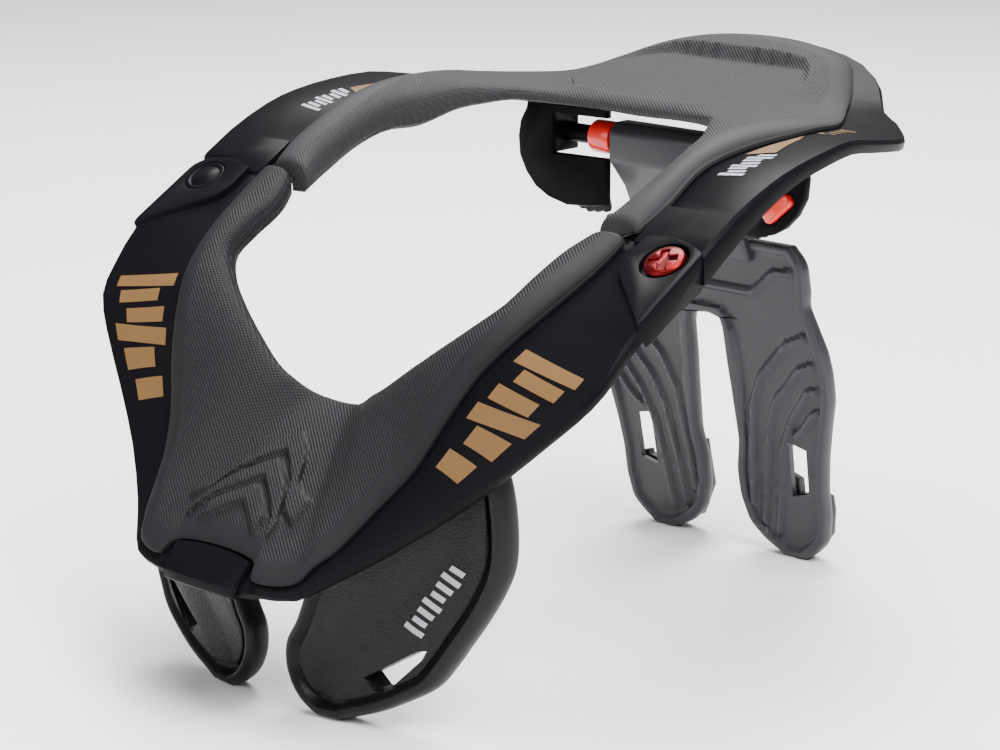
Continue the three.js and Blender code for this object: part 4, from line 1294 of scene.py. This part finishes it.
class BRACE_OT_prints(bpy.types.Operator):
    """Lays the printed bars and stripes on the frames"""

    bl_idname = "brace.prints"
    bl_label = "Prints"

    def execute(self, context):
        for side, end in ENDS.items():
            chest = bars("gold_bars_" + end, FRONT, side, *CHEST_BARS)
            dressed(chest, "gold", "front_half", "frame_plastic")
            stripe = outward(band_patch("gold_stripe_" + end, REAR, side, STRIPE, (14, 4)), UP)
            dashes = bars("gold_dashes_" + end, REAR, side, *TRIM_DASHES)
            dressed(joined(stripe, [dashes]), "gold", "rear_half", "frame_plastic")
            marks = bars("grey_dashes_" + end, REAR, side, *ARM_DASHES)
            dressed(marks, "pale", "rear_half", "frame_plastic")
            dressed(wing_dashes(side), "pale", "front_half", "wing_skin")
        return {"FINISHED"}


class BRACE_OT_stage(bpy.types.Operator):
    """Sets the floor, the lights and the camera"""

    bl_idname = "brace.stage"
    bl_label = "Stage"

    def execute(self, context):
        scene = context.scene
        sizes = scene.brace_sizes
        bpy.ops.object.select_all(action="DESELECT")
        bpy.ops.mesh.primitive_plane_add(size=14.0)
        floor = context.active_object
        floor.name = "studio_floor"
        material, tree, shader = new_material("Studio floor, matt paint")
        place = node(tree, "ShaderNodeTexCoord").outputs["Object"]
        cloud = ranged(tree, noise(tree, place, 3.0, 2.0), 0.6, 0.7)
        feed(tree, shader, {"Base Color": rgba(scene.brace_colours.floor), "Roughness": cloud})
        floor.data.materials.append(material)
        scene.world = scene.world or bpy.data.worlds.new("studio")
        scene.world.use_nodes = True
        background = next(n for n in scene.world.node_tree.nodes if n.type == "BACKGROUND")
        light = {"Color": (1.0, 1.0, 1.0, 1.0), "Strength": WORLD_LIGHT}
        feed(scene.world.node_tree, background, light)
        for name, azimuth, elevation, reach, size, power in LAMPS:
            lamp = bpy.data.lights.new(name, "AREA")
            lamp.shape = "DISK"
            lamp.size = size
            lamp.energy = power
            aimed(scene, name, lamp, math.radians(azimuth), math.radians(elevation), reach)
        camera = bpy.data.cameras.new("studio_camera")
        camera.lens = sizes.lens
        camera.sensor_width = 36.0
        scene.camera = aimed(scene, "studio_camera", camera, sizes.azimuth, sizes.elevation,
                             sizes.camera_reach)
        return {"FINISHED"}


def aimed(scene, name, data, azimuth, elevation, reach):
    """Adds a lamp or a camera that looks at the middle of the brace from these angles."""
    flat = math.cos(elevation)
    towards = Vector((math.sin(azimuth) * flat, -math.cos(azimuth) * flat, math.sin(elevation)))
    holder = bpy.data.objects.new(name, data)
    scene.collection.objects.link(holder)
    holder.location = MIDDLE + towards * reach
    holder.rotation_euler = (MIDDLE - holder.location).to_track_quat("-Z", "Y").to_euler()
    return holder


class BRACE_PT_panel(bpy.types.Panel):
    """The brace's settings and steps"""

    bl_label = "Neck Brace"
    bl_idname = "BRACE_PT_panel"
    bl_space_type = "VIEW_3D"
    bl_region_type = "UI"
    bl_category = "Neck Brace"

    def draw(self, context):
        for group in (context.scene.brace_colours, context.scene.brace_sizes):
            for key in group.__annotations__:
                self.layout.prop(group, key)
        for operator in STEPS:
            self.layout.operator(operator.bl_idname)


STEPS = (BRACE_OT_stage, BRACE_OT_front_pad, BRACE_OT_rear_pad, BRACE_OT_linings, BRACE_OT_frames,
         BRACE_OT_wings, BRACE_OT_joints, BRACE_OT_housings, BRACE_OT_strut, BRACE_OT_prints)
GROUPS = {"brace_colours": BraceColours, "brace_sizes": BraceSizes}


def register():
    """Registers the settings, the operators and the panel."""
    for entry in (*GROUPS.values(), *STEPS, BRACE_PT_panel):
        bpy.utils.register_class(entry)
    for name, group in GROUPS.items():
        setattr(bpy.types.Scene, name, bpy.props.PointerProperty(type=group))


def unregister():
    """Takes them off again."""
    for name in GROUPS:
        delattr(bpy.types.Scene, name)
    for entry in (BRACE_PT_panel, *reversed(STEPS), *GROUPS.values()):
        bpy.utils.unregister_class(entry)


def main():
    """Runs the steps in order."""
    register()
    for step in STEPS:
        group, name = step.bl_idname.split(".")
        getattr(getattr(bpy.ops, group), name)()


if __name__ == "__main__":
    main()
